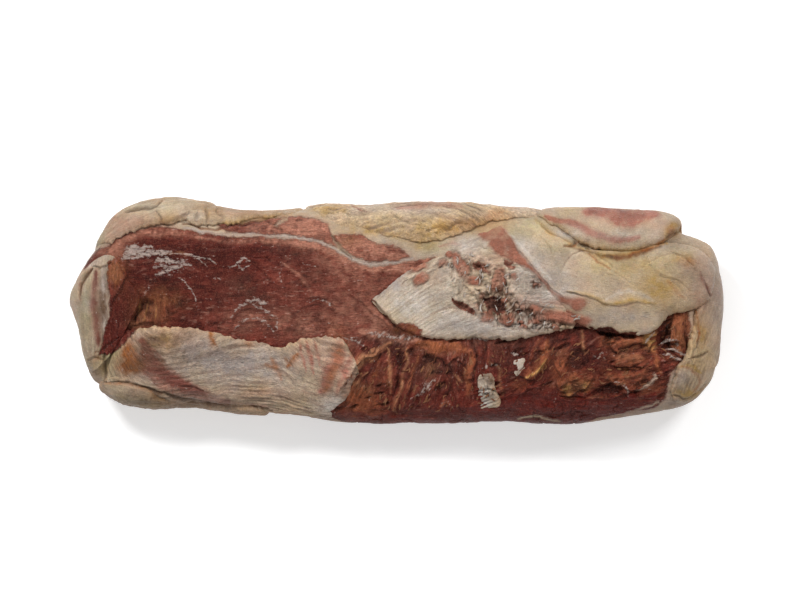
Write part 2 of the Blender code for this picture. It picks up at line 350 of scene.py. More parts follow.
# Edges of torn flaps, high on the left of their path: height (mm), how far the height reaches back, and
# the path
# each flap's edge also gets a painted shadow just off its right-hand side
FLAPS = (
    (2.2, 4, (-44, -74), (-47, -66), (-43, -61), (-37, -53), (-32, -45), (-28, -41), (-24, -39), (-19, -39),
        (-14, -37), (-9, -33), (-5, -28)),
    (1.6, 8, (18, -30), (23, -33), (28, -38), (37, -40), (41, -45), (44, -43), (48, -40), (52, -43),
        (57, -44), (59, -52)),
    (1.4, 5, (61, -68), (62, -61), (62, -53), (64, -48), (66, -43), (64, -35), (61, -28)),
    (1.8, 8, (114, -25), (110, -37), (107, -47), (101, -53), (107, -56), (113, -57), (117, -50), (123, -42),
        (129, -35), (135, -31)),
    (3.0, 8, (179, -19), (177, -28), (180, -34), (186, -33), (191, -32), (196, -30), (201, -29), (205, -28)),
    (2.2, 6, (173, -45), (178, -46), (183, -47), (189, -47), (195, -47), (202, -47), (206, -45)),
    (1.8, 6, (174, -58), (180, -60), (186, -62), (193, -65), (201, -64), (208, -61)),
    (2.0, 8, (132, -57), (135, -65), (139, -68), (145, -70), (150, -66), (156, -64), (160, -58), (163, -52)),
    (1.2, 5, (128, -40), (132, -47), (136, -52), (138, -57)),
    (1.4, 8, (185, -70), (176, -71), (168, -71), (161, -73), (155, -75)),
    (2.4, 9, (230, 0), (228, -9), (227, -21), (228, -33), (234, -38), (241, -38)),
    (1.0, 4, (247, -38), (248, -25), (247, -13), (246, -2)),
    (1.4, 7, (5, -85), (8, -73), (11, -63), (14, -52), (17, -40)),
    (1.2, 7, (36, -83), (41, -73), (44, -63), (46, -52)),
    (1.0, 6, (19, -78), (26, -71), (33, -62), (38, -52)),
    (1.0, 6, (95, -83), (102, -71), (112, -65), (123, -62)),
    (2.6, 6, (-239, -14), (-237, -2), (-235, 8), (-230, 15), (-225, 23), (-224, 34), (-228, 43)),
    (1.0, 6, (-119, 39), (-111, 33), (-103, 24), (-95, 18)),
    (1.0, 6, (-37, 11), (-28, 5), (-20, -2), (-10, -9), (-4, -17)),
    (0.9, 5, (-83, -2), (-75, 3), (-65, 5), (-55, 2), (-48, 0)),
    (0.9, 5, (-80, 8), (-70, 11), (-60, 9), (-52, 6)),
    (0.8, 5, (-139, -22), (-133, -15), (-121, -10), (-109, -10), (-100, -17), (-95, -25)),
    (0.8, 4, (-136, -10), (-131, -2), (-121, 1), (-111, -2), (-103, -9)),
    (2.0, 9, (71, -9), (65, -5), (55, 0), (47, 1), (41, 0), (33, -2), (28, -5), (23, -9)),
    (1.4, 6, (112, -18), (100, -17), (89, -14), (77, -12), (67, -7)),
    (1.2, 6, (46, 28), (54, 23), (61, 16), (69, 11)),
    (1.4, 5, (99, 28), (94, 21), (92, 13), (95, 6), (102, 1)),
    (1.6, 12, (137, 16), (148, 14), (160, 10), (171, 5), (184, 3), (195, 6), (213, 4)),
    (1.5, 12, (180, 33), (168, 42), (158, 47), (148, 46), (140, 39), (135, 29)),
    (1.4, 9, (145, 54), (136, 58), (124, 65), (114, 75)),
    (1.0, 6, (85, 70), (92, 62), (100, 51), (110, 39), (121, 26), (132, 14), (142, 9), (154, 9)),
    (1.0, 10, (251, 39), (237, 43), (224, 44), (209, 39), (201, 31)),
    (1.0, 8, (242, 8), (234, 16), (224, 24), (213, 28)),
)

# The small torn patch of the lean beside the rolled end
TORN_CORNER = ((-222, -14), (-217, -2), (-211, 9), (-204, 13), (-192, 11), (-176, 8), (-182, -2), (-195, -14))

# Where small shreds lie about, as outlines
TORN_LEAN = (
    (-47, -68), (-37, -47), (-20, -33), (3, -29), (61, -29), (110, -30), (147, -25), (176, -27), (205, -32),
    (214, -22), (229, -7), (241, -7), (239, -30), (221, -52), (213, -68), (168, -68), (135, -68), (95, -60),
    (89, -83), (36, -85), (3, -85), (-32, -76),
)
TORN_FAT = (
    (36, 47), (59, 52), (74, 39), (95, 31), (123, 14), (135, 3), (158, -7), (135, -19), (85, -17), (59, 3),
    (43, 23),
)

# White film, the silverskin that stayed on the lean: half width (mm), strength and path
FILM_STREAKS = (
    (4.4, 0.9, (-226, 43), (-220, 47), (-214, 51)),
    (2.6, 0.85, (-220, 52), (-217, 53), (-214, 49), (-207, 52), (-202, 52)),
    (2.6, 0.85, (-217, 43), (-210, 46), (-204, 47), (-195, 47), (-187, 47)),
    (2.8, 0.7, (-200, 39), (-192, 42), (-185, 39), (-177, 39), (-171, 36)),
    (2.6, 0.68, (-201, 34), (-194, 36), (-185, 34), (-177, 36)),
    (2.2, 0.6, (-199, 29), (-192, 31), (-185, 28)),
    (0.8, 0.75, (-190, 47), (-179, 46), (-169, 45), (-161, 43), (-154, 41), (-149, 38)),
    (0.6, 0.6, (-166, 43), (-161, 40), (-157, 36)),
    (0.5, 0.75, (-182, 26), (-176, 24), (-172, 18), (-168, 13), (-166, 7), (-165, 0)),
    (1.0, 0.75, (-140, 35), (-135, 36), (-131, 39), (-127, 43), (-122, 40)),
    (0.9, 0.65, (-131, 37), (-128, 33), (-124, 36), (-121, 38)),
    (0.8, 0.6, (-149, 27), (-145, 24)),
    (3.0, 0.62, (-123, 5), (-116, 8), (-109, 5)),
    (1.4, 0.5, (-134, -17), (-128, -10), (-118, -7), (-108, -10), (-101, -19)),
    (0.8, 0.5, (-96, 39), (-95, 34), (-97, 28), (-95, 24), (-92, 17)),
    (0.9, 0.4, (-80, 39), (-71, 36), (-62, 36)),
    (1.0, 0.36, (-48, 27), (-37, 23), (-27, 24)),
    (1.4, 0.6, (-136, -7), (-133, 1), (-124, 5), (-116, 3), (-108, -2), (-100, -7), (-98, -17)),
    (0.8, 0.55, (-73, 6), (-66, 8), (-58, 6), (-52, 2)),
    (3.0, 0.5, (-24, -18), (-9, -22), (7, -24), (18, -22)),
    (1.6, 0.5, (-45, -23), (-35, -25), (-27, -30)),
    (1.4, 0.8, (95, -36), (100, -38)),
    (1.5, 0.75, (205, -27), (209, -23), (212, -19)),
    (1.6, 0.5, (70, -49), (76, -47), (84, -45)),
    (2.6, 0.55, (21, -67), (26, -63), (31, -58)),
    (0.9, 0.45, (9, -76), (17, -71), (26, -65)),
    (1.1, 0.5, (161, -37), (166, -40), (170, -36), (173, -43)),
    (0.7, 0.4, (-235, 8), (-237, -5), (-234, -15)),
    (1.0, 0.45, (59, -24), (64, -22), (70, -24), (76, -26)),
    (0.7, 0.5, (36, -76), (42, -75), (47, -81)),
    (0.9, 0.7, (179, -59), (185, -59), (189, -63), (191, -71)),
    (1.2, 0.8, *PATHS["upper_thread"]),
    (1.2, 0.8, *PATHS["middle_thread"]),
    (1.2, 0.8, *PATHS["lower_thread"]),
    (1.0, 0.7, (60, -24), (64, -23), (69, -24), (74, -26)),
    (1.6, 0.3, (-204, 23), (-207, 16), (-209, 9)),
    (1.0, 0.4, (-141, 61), (-134, 62), (-129, 59), (-121, 62)),
)

# Creases and cracks: half width (mm), depth (mm) and path
CREASES = (
    (1.3, 2.0, (-225, 80), (-220, 82), (-209, 83), (-199, 86), (-195, 90)),
    (1.1, 1.6, (-199, 81), (-195, 76), (-195, 73), (-187, 73), (-179, 76), (-171, 81)),
    (1.2, 1.3, (-165, 81), (-166, 76), (-164, 71)),
    (1.2, 1.4, (-159, 84), (-157, 77), (-157, 69)),
    (1.1, 1.1, (-148, 85), (-149, 81), (-144, 76), (-147, 71)),
    (1.0, 1.4, (-177, 72), (-162, 68), (-151, 66), (-138, 69), (-121, 71), (-106, 75), (-90, 76)),
    (0.9, 1.2, (-247, 66), (-240, 72), (-233, 77)),
    (1.2, 2.2, (-252, 34), (-258, 28), (-262, 20), (-263, 9)),
    (1.0, 1.6, (-252, 36), (-244, 34), (-237, 39)),
    (1.0, 1.4, *PATHS["roll_crease"]),
    (1.2, 2.0, (-242, -36), (-242, -45), (-241, -52), (-242, -60)),
    (0.9, 1.2, (-256, -42), (-250, -40), (-243, -43)),
    (1.3, 2.2, (-243, -61), (-233, -60), (-226, -60), (-217, -63), (-204, -66), (-195, -69), (-187, -72),
        (-176, -75), (-163, -76), (-150, -79), (-129, -81), (-114, -81), (-103, -84)),
    (0.9, 1.4, (-108, 73), (-101, 70), (-95, 66), (-88, 63)),
    (1.0, 1.6, (-54, 62), (-49, 54), (-43, 47), (-37, 42)),
    (0.8, 1.0, (-46, 81), (-42, 80), (-38, 77)),
    (0.8, 0.9, (-39, 87), (-33, 84), (-25, 81)),
    (1.0, 1.3, (-5, 81), (1, 76), (9, 72), (16, 71)),
    (1.1, 1.6, (25, 65), (33, 68), (43, 67), (49, 71), (55, 71)),
    (0.8, 0.9, (-121, 44), (-114, 43), (-108, 43), (-102, 38)),
    (0.7, 0.8, (-55, 5), (-48, 2), (-41, 2)),
    (0.7, 0.8, (-81, -2), (-75, 3), (-66, 4)),
    (1.2, 2.4, (-20, 7), (-15, 2), (-9, -5), (-5, -9), (0, -14)),
    (0.6, 1.0, (5, 21), (9, 24)),
    (0.7, 1.2, (34, 33), (41, 39)),
    (0.8, 1.4, (45, 39), (47, 33), (45, 26)),
    (0.7, 1.2, (59, 43), (62, 34), (61, 28)),
    (0.7, 1.0, (24, -8), (29, -6), (34, -3)),
    (0.8, 1.6, (64, 17), (69, 14), (72, 9)),
    (0.9, 1.6, (81, 34), (88, 32), (90, 24), (90, 16)),
    (0.8, 1.2, (76, 31), (76, 23), (79, 16)),
    (0.9, 1.4, (112, 28), (115, 25)),
    (0.7, 1.2, (113, 24), (119, 24), (119, 19), (114, 18)),
    (0.8, 1.4, (89, -14), (97, -14)),
    (0.8, 1.4, (104, -15), (113, -19)),
    (0.8, 1.2, (51, 20), (53, 12)),
    (0.8, 1.2, (95, -5), (100, -7), (102, -13)),
    (0.8, 1.4, (80, -2), (82, -9), (85, -13)),
    (1.2, 2.0, (112, -7), (119, -9), (129, -10), (139, -12), (149, -14), (158, -16)),
    (0.8, 0.8, (114, 75), (124, 65), (136, 58), (143, 55), (150, 56)),
    (1.0, 1.6, (138, 52), (144, 52), (150, 57)),
    (1.0, 1.4, (152, 54), (160, 49), (170, 45), (178, 44)),
    (0.7, 0.8, (119, 60), (126, 52), (128, 46)),
    (0.8, 0.9, (140, 39), (147, 46), (157, 48)),
    (0.8, 0.9, (160, 47), (166, 39), (175, 33), (185, 27), (195, 20)),
    (1.0, 1.0, (141, 14), (160, 10), (171, 5), (184, 3), (195, 6), (213, 4)),
    (0.8, 0.9, (206, 44), (211, 34), (219, 28), (231, 24), (242, 16)),
    (0.8, 1.0, (228, 47), (236, 43), (246, 36)),
    (1.0, 2.0, (208, -35), (211, -30), (214, -27)),
    (1.0, 1.6, (239, -7), (238, -19), (241, -30), (242, -37)),
    (1.0, 1.6, (242, -41), (251, -39), (257, -35)),
    (0.9, 1.2, (66, -67), (72, -66), (79, -66), (85, -73)),
    (1.0, 1.4, (136, -72), (146, -72), (156, -73)),
    (0.7, 1.0, (254, 24), (257, 18), (260, 11)),
    (1.8, 2.6, (224, 59), (228, 63), (233, 65)),
    (0.9, 1.2, (228, -71), (239, -74), (249, -70), (256, -62)),
    (0.8, 1.2, (-184, -62), (-176, -63), (-169, -64), (-160, -67)),
    (0.7, 0.9, (-225, -19), (-218, -24), (-211, -31)),
    (0.7, 0.9, (-207, -33), (-199, -36), (-189, -38)),
)

# Raised strands and torn edges: half width (mm), height (mm) and path
RIDGES = (
    (2.2, 1.8, *PATHS["sheet_strand"]),
    (1.4, 1.2, *PATHS["short_strand"]),
    (1.5, 1.6, *PATHS["second_strand"]),
    (1.4, 1.4, *PATHS["third_strand"]),
    (5.0, 1.6, *PATHS["shelf"]),
    (2.6, 1.8, *PATHS["hanging_strand"]),
    (1.4, 1.0, (47, -52), (54, -60)),
    (1.6, 1.2, *PATHS["low_curl"]),
    (4.0, 2.6, (123, -28), (123, -38), (116, -47), (109, -55)),
    (1.4, 1.4, (153, -19), (154, -28), (155, -37)),
    (3.4, 1.4, (142, -30), (135, -43), (140, -55)),
    (4.4, 1.6, (137, -63), (145, -58), (155, -61)),
    (4.0, 2.2, (180, -40), (186, -42), (195, -39), (203, -40)),
    (5.0, 2.0, (176, -55), (185, -57), (195, -55), (203, -53)),
    (5.0, 2.6, (180, -28), (190, -25), (201, -24)),
    (1.8, 1.6, (209, -30), (214, -37), (215, -47)),
    (5.0, 2.4, (233, -7), (234, -19), (234, -32)),
    (2.0, 1.2, (243, -2), (243, -17), (244, -32)),
    (1.6, 1.0, *PATHS["low_rib"]),
    (2.4, 1.2, (180, -60), (188, -62), (191, -70)),
    (1.6, 1.2, (-228, 43), (-227, 36), (-224, 28)),
    (2.2, 1.2, (7, 26), (20, 30), (29, 35), (32, 39)),
    (1.6, 1.0, (-18, 11), (-10, 19), (-2, 24), (6, 30), (13, 34)),
    (1.4, 1.4, (64, 39), (69, 43), (77, 39), (82, 34)),
    (1.2, 1.2, (74, 29), (76, 21), (72, 13)),
    (1.4, 1.4, (92, 14), (99, 13), (104, 8), (100, 3)),
    (1.3, 1.3, (61, 14), (67, 11), (72, 3), (69, -4)),
    (1.2, 1.2, (85, -4), (92, 0), (97, -4)),
    (2.6, 1.0, (101, 69), (115, 66), (125, 57), (135, 49)),
    (4.0, 1.2, (143, 43), (155, 47), (165, 43), (176, 33)),
    (0.8, 1.2, *PATHS["upper_thread"]),
    (0.8, 1.2, *PATHS["middle_thread"]),
    (0.8, 1.2, *PATHS["lower_thread"]),
    (3.0, 1.8, (-232, 39), (-229, 31), (-233, 21)),
    (1.6, 1.2, *PATHS["roll_rib"]),
)

# Colours laid over the fat, in turn: the code, its soft spots (centre, reach along x and y in mm, and
# strength) and its streaks (half width in mm, strength and path)
FAT_TINTS = {
    "lilac": (
        "#a1948c",
        (
            ((102, 57), 14, 12, 0.5), ((119, 39), 14, 14, 0.6), ((139, 21), 18, 12, 0.5),
            ((189, -6), 48, 7, 0.5), ((-1, 16), 16, 9, 0.6), ((-133, -47), 60, 16, 0.5),
            ((-171, -29), 20, 8, 0.4), ((69, -14), 54, 9, 0.9), ((-28, 65), 34, 5, 0.5),
            ((-129, -43), 56, 22, 0.5), ((-45, -81), 16, 10, 0.7), ((238, -60), 10, 9, 0.8),
            ((271, 0), 9, 60, 0.5), ((102, 20), 26, 14, 0.45), ((-204, -52), 9, 7, 0.6),
            ((-202, -38), 9, 4, 0.6), ((-216, -22), 12, 6, 0.5), ((242, -75), 22, 10, 0.5),
            ((-47, -42), 18, 22, 0.2),
        ),
        (
            (3.0, 0.8, (-242, 34), (-242, 16), (-242, -5), (-240, -27)),
            (4.0, 0.6, (-20, 8), (-14, 17), (-2, 24), (10, 35)),
            (3.0, 0.5, (-80, 81), (-14, 84), (44, 81)),
            (2.0, 0.6, (-176, 68), (-149, 62), (-121, 62), (-80, 60), (-55, 52), (-37, 42), (-14, 38),
                (14, 42)),
        ),
    ),
    "green": (
        "#a39c6e",
        (
            ((178, 36), 24, 11, 0.35), ((-258, 4), 6, 30, 0.55), ((-237, -40), 9, 12, 0.6),
            ((112, 67), 18, 9, 0.5), ((135, 52), 16, 8, 0.35), ((-204, 85), 30, 5, 0.3),
            ((-249, 61), 7, 8, 0.5), ((-212, -76), 24, 6, 0.4), ((11, 1), 20, 12, 0.25),
            ((72, -75), 9, 9, 0.6), ((218, 39), 20, 12, 0.3), ((28, 52), 14, 6, 0.4),
        ),
        (),
    ),
    # golden fat; its streaks along the belly fold's lip and along creases, and its spot at (143, 62), are
    # painted warm shade
    "gold_and_painted_light": (
        "#b3925a",
        (
            ((-9, 69), 46, 9, 0.4), ((-55, 82), 14, 4, 0.5), ((3, 57), 8, 5, 0.4), ((-22, 64), 20, 4, 0.4),
            ((143, 62), 6, 5, 0.5), ((180, 33), 36, 14, 0.3), ((251, -43), 14, 22, 0.35),
            ((201, 8), 40, 10, 0.2), ((29, 64), 22, 10, 0.5), ((22, 52), 10, 5, 0.4),
            ((-70, 84), 26, 7, 0.5), ((61, 71), 26, 9, 0.55), ((-156, 82), 14, 8, 0.35),
            ((123, 64), 18, 10, 0.2), ((218, 19), 16, 11, 0.8), ((237, 42), 12, 6, 0.5),
            ((242, -69), 12, 6, 1.0), ((252, -17), 6, 16, 0.7), ((-193, -27), 14, 7, 0.75),
            ((-114, -65), 11, 8, 0.35), ((-245, -47), 8, 8, 0.5), ((231, 66), 8, 8, 0.6),
            ((201, 39), 40, 10, 0.2), ((-129, 80), 44, 5, 0.25),
        ),
        (
            (3.0, 0.6, (-144, 71), (-126, 72), (-110, 76), (-88, 79)),
            (2.4, 0.6, (115, 74), (125, 65), (136, 58), (148, 52), (160, 47), (176, 44), (195, 46),
                (211, 51), (221, 55)),
            (1.6, 0.6, (141, 15), (160, 12), (171, 5), (184, 5), (195, 8), (213, 5)),
            (1.8, 0.7, (224, 54), (223, 61), (224, 66), (229, 71), (237, 69)),
            (2.4, 0.5, (-195, 74), (-185, 75), (-177, 76)),
            (2.0, 0.4, (135, 70), (152, 57), (168, 51), (193, 49), (209, 53)),
            (1.6, 0.6, (234, -47), (244, -47), (252, -52)),
        ),
    ),
    "pink": (
        "#a66e5d",
        (
            ((-233, 69), 16, 12, 0.4), ((-39, -54), 7, 11, 0.7), ((147, 6), 8, 4, 0.6),
            ((-204, 72), 20, 5, 0.35), ((135, 6), 20, 4, 0.35), ((-71, -35), 14, 14, 0.35),
            ((69, 39), 18, 8, 0.3), ((-119, -70), 60, 6, 0.25), ((110, 8), 22, 6, 0.3),
            ((201, 70), 20, 6, 0.2), ((-258, 39), 6, 6, 0.5), ((-263, 20), 3, 14, 0.35),
            ((-129, 81), 30, 5, 0.3), ((254, 8), 14, 30, 0.3), ((-191, -25), 30, 12, 0.2),
        ),
        (
            (6.5, 1.2, (157, 81), (173, 81), (186, 77), (201, 78), (214, 80)),
            (3.0, 0.9, (176, 75), (188, 71), (203, 73)),
            (2.4, 1.6, (123, 77), (135, 74), (148, 71), (158, 65), (169, 61), (184, 58), (200, 60)),
            (2.6, 0.6, (0, 85), (11, 85), (28, 88), (41, 87), (54, 86)),
            (2.4, 0.7, (-250, 29), (-252, 12), (-250, -9), (-247, -29)),
            (5.5, 1.1, (-47, -24), (-48, -35), (-52, -47), (-57, -58), (-62, -68)),
            (3.6, 0.7, (-217, -35), (-210, -47), (-200, -57), (-189, -66), (-176, -72)),
            (1.2, 0.6, (-81, -24), (-78, -36), (-75, -52)),
            (1.4, 0.6, (-75, -27), (-71, -38), (-68, -53)),
            (1.4, 0.55, (-68, -26), (-65, -37), (-63, -47)),
            (3.0, 0.5, (-37, -23), (-37, -35), (-42, -48), (-47, -62), (-50, -71)),
            (1.6, 0.5, (36, 52), (46, 55), (57, 52)),
        ),
    ),
    "wine": (
        "#7b463b",
        (
            ((-207, -43), 9, 13, 0.6), ((125, 5), 20, 3, 0.25),
        ),
        (
            (5.0, 1.5, (-210, -26), (-206, -37), (-199, -47), (-187, -57), (-172, -66), (-156, -73),
                (-141, -77)),
            (1.4, 0.6, (-202, -32), (-195, -40), (-187, -49), (-176, -57), (-162, -65)),
            (1.2, 0.5, (-219, -33), (-214, -45), (-205, -56), (-194, -65), (-180, -71)),
            (1.4, 0.6, (251, 31), (252, 25), (256, 19), (260, 12)),
            (0.8, 0.6, (-39, 87), (-33, 84), (-25, 81)),
            (1.2, 0.5, (76, 31), (69, 33), (64, 36)),
            (1.6, 0.4, (-158, -75), (-129, -78), (-104, -81)),
            (3.0, 0.95, (-249, 31), (-250, 11), (-248, -10), (-247, -29)),
            (4.5, 0.6, (161, 81), (173, 81), (186, 80), (203, 79)),
        ),
    ),
    # rust-orange stains in the spots and some streaks; the streaks along creases and along the belly fold's
    # lip are painted warm shade
    "rust_and_warm_shade": (
        "#9a5a2c",
        (
            ((-223, -46), 9, 8, 1.1), ((85, 78), 10, 5, 0.5), ((-216, -45), 6, 8, 0.7),
            ((-222, -33), 5, 8, 0.75), ((-34, -75), 12, 9, 0.7), ((-152, -25), 3, 6, 0.6),
            ((-122, -28), 4, 3, 0.6), ((241, 39), 8, 4, 0.45), ((228, 64), 5, 6, 0.6),
            ((-248, -40), 4, 4, 0.4), ((107, 3), 14, 4, 0.3), ((64, 71), 16, 5, 0.35),
            ((-52, -29), 5, 8, 0.4), ((41, 67), 8, 4, 0.3),
        ),
        (
            (1.0, 0.7, (247, 0), (249, -7), (250, -17), (248, -27)),
            (3.4, 0.5, (-46, -24), (-47, -35), (-50, -47), (-55, -58), (-60, -68)),
            (2.2, 0.65, (-104, -40), (-101, -45), (-98, -50), (-95, -57)),
            (1.6, 0.5, (-109, -45), (-104, -47), (-98, -48)),
            (2.2, 0.7, (-81, -37), (-85, -42), (-90, -47)),
            (1.2, 0.5, (-93, -40), (-90, -43), (-85, -43)),
            (1.2, 0.6, (-154, -19), (-152, -25), (-148, -30)),
            (1.8, 0.8, (171, 44), (185, 43), (201, 47), (214, 52), (222, 57)),
            (1.0, 0.6, (138, 52), (145, 52), (151, 57)),
            (1.0, 0.5, (157, 47), (166, 39), (176, 33)),
            (0.9, 0.6, (-177, 72), (-162, 68), (-151, 66), (-138, 69), (-121, 71), (-106, 75)),
            (1.0, 0.5, (-252, 35), (-258, 28), (-262, 19), (-263, 8)),
            (0.9, 0.5, *PATHS["roll_crease"]),
            (1.2, 0.5, (-245, -62), (-233, -61), (-226, -61), (-212, -65), (-195, -70)),
            (1.2, 0.5, (236, -47), (246, -51), (251, -58), (246, -68)),
            (1.6, 0.4, (223, 23), (231, 14), (237, 9)),
        ),
    ),
    # whiter fat; its spots at (185, 62) and (-53, -79) are painted light, lifting places that lie in shade
    "white": (
        "#cec3b8",
        (
            ((-255, 39), 5, 4, 0.7), ((61, 53), 14, 8, 0.7), ((44, -7), 24, 8, 0.5), ((24, 8), 20, 12, 0.5),
            ((106, 31), 14, 14, 0.5), ((123, 9), 16, 6, 0.5), ((69, -13), 40, 8, 0.3),
            ((3, 3), 18, 12, 0.5), ((185, 62), 20, 5, 0.4), ((43, 28), 12, 14, 0.35),
            ((73, -75), 8, 8, 0.9), ((75, -62), 10, 10, 0.5), ((-258, 8), 5, 14, 0.4),
            ((-53, -79), 12, 8, 0.8), ((143, 63), 10, 6, 0.7), ((-162, -77), 30, 7, 0.4),
            ((135, 31), 10, 10, 0.2), ((-88, 82), 24, 5, 0.4), ((132, 14), 18, 4, 0.5),
            ((208, -24), 8, 6, 0.9), ((100, -45), 10, 12, 0.6), ((-169, 77), 9, 5, 0.4),
            ((-195, 85), 24, 4, 0.3), ((105, 52), 10, 8, 0.4), ((-47, -24), 14, 4, 0.3),
        ),
        (
            (1.2, 0.45, *PATHS["roll_rib"]),
            (0.7, 0.45, *PATHS["seam"]),
            (1.8, 0.4, (172, 9), (185, 14), (201, 13), (211, 8)),
            (1.4, 0.35, (89, 66), (99, 57), (107, 46), (117, 36), (127, 24)),
        ),
    ),
    # painted shade: brown-grey laid where the fat lies in shade, as at both ends, on and under the lower
    # flaps and along the belly fold's lip
    "brown": (
        "#5f4735",
        (
            ((-255, -17), 16, 40, 0.25), ((74, -58), 10, 8, 0.7), ((-182, -38), 26, 12, 0.45),
            ((-207, -43), 14, 16, 0.4), ((-242, 8), 5, 24, 0.7), ((-222, -47), 8, 8, 0.4),
            ((-197, -24), 16, 6, 0.5), ((-171, -19), 16, 5, 0.3), ((236, 29), 18, 10, 0.25),
            ((135, 45), 10, 8, 0.3), ((-204, -71), 20, 6, 0.5), ((-204, 78), 40, 12, 0.15),
            ((-121, -47), 70, 24, 0.05), ((-104, -74), 66, 7, 0.2), ((-187, -76), 66, 9, 0.3),
            ((242, -57), 24, 26, 0.2), ((261, -13), 14, 44, 0.12), ((237, 24), 30, 24, 0.08),
            ((-248, -45), 12, 14, 0.1), ((164, 8), 60, 10, 0.1), ((-47, -68), 22, 14, 0.25),
            ((85, -2), 40, 12, 0.15), ((52, 71), 18, 6, 0.2), ((-252, 16), 10, 30, 0.1),
            ((233, 52), 14, 6, 0.3),
        ),
        (
            (2.0, 0.6, (143, 52), (160, 46), (178, 43), (201, 46), (219, 52)),
        ),
    ),
}

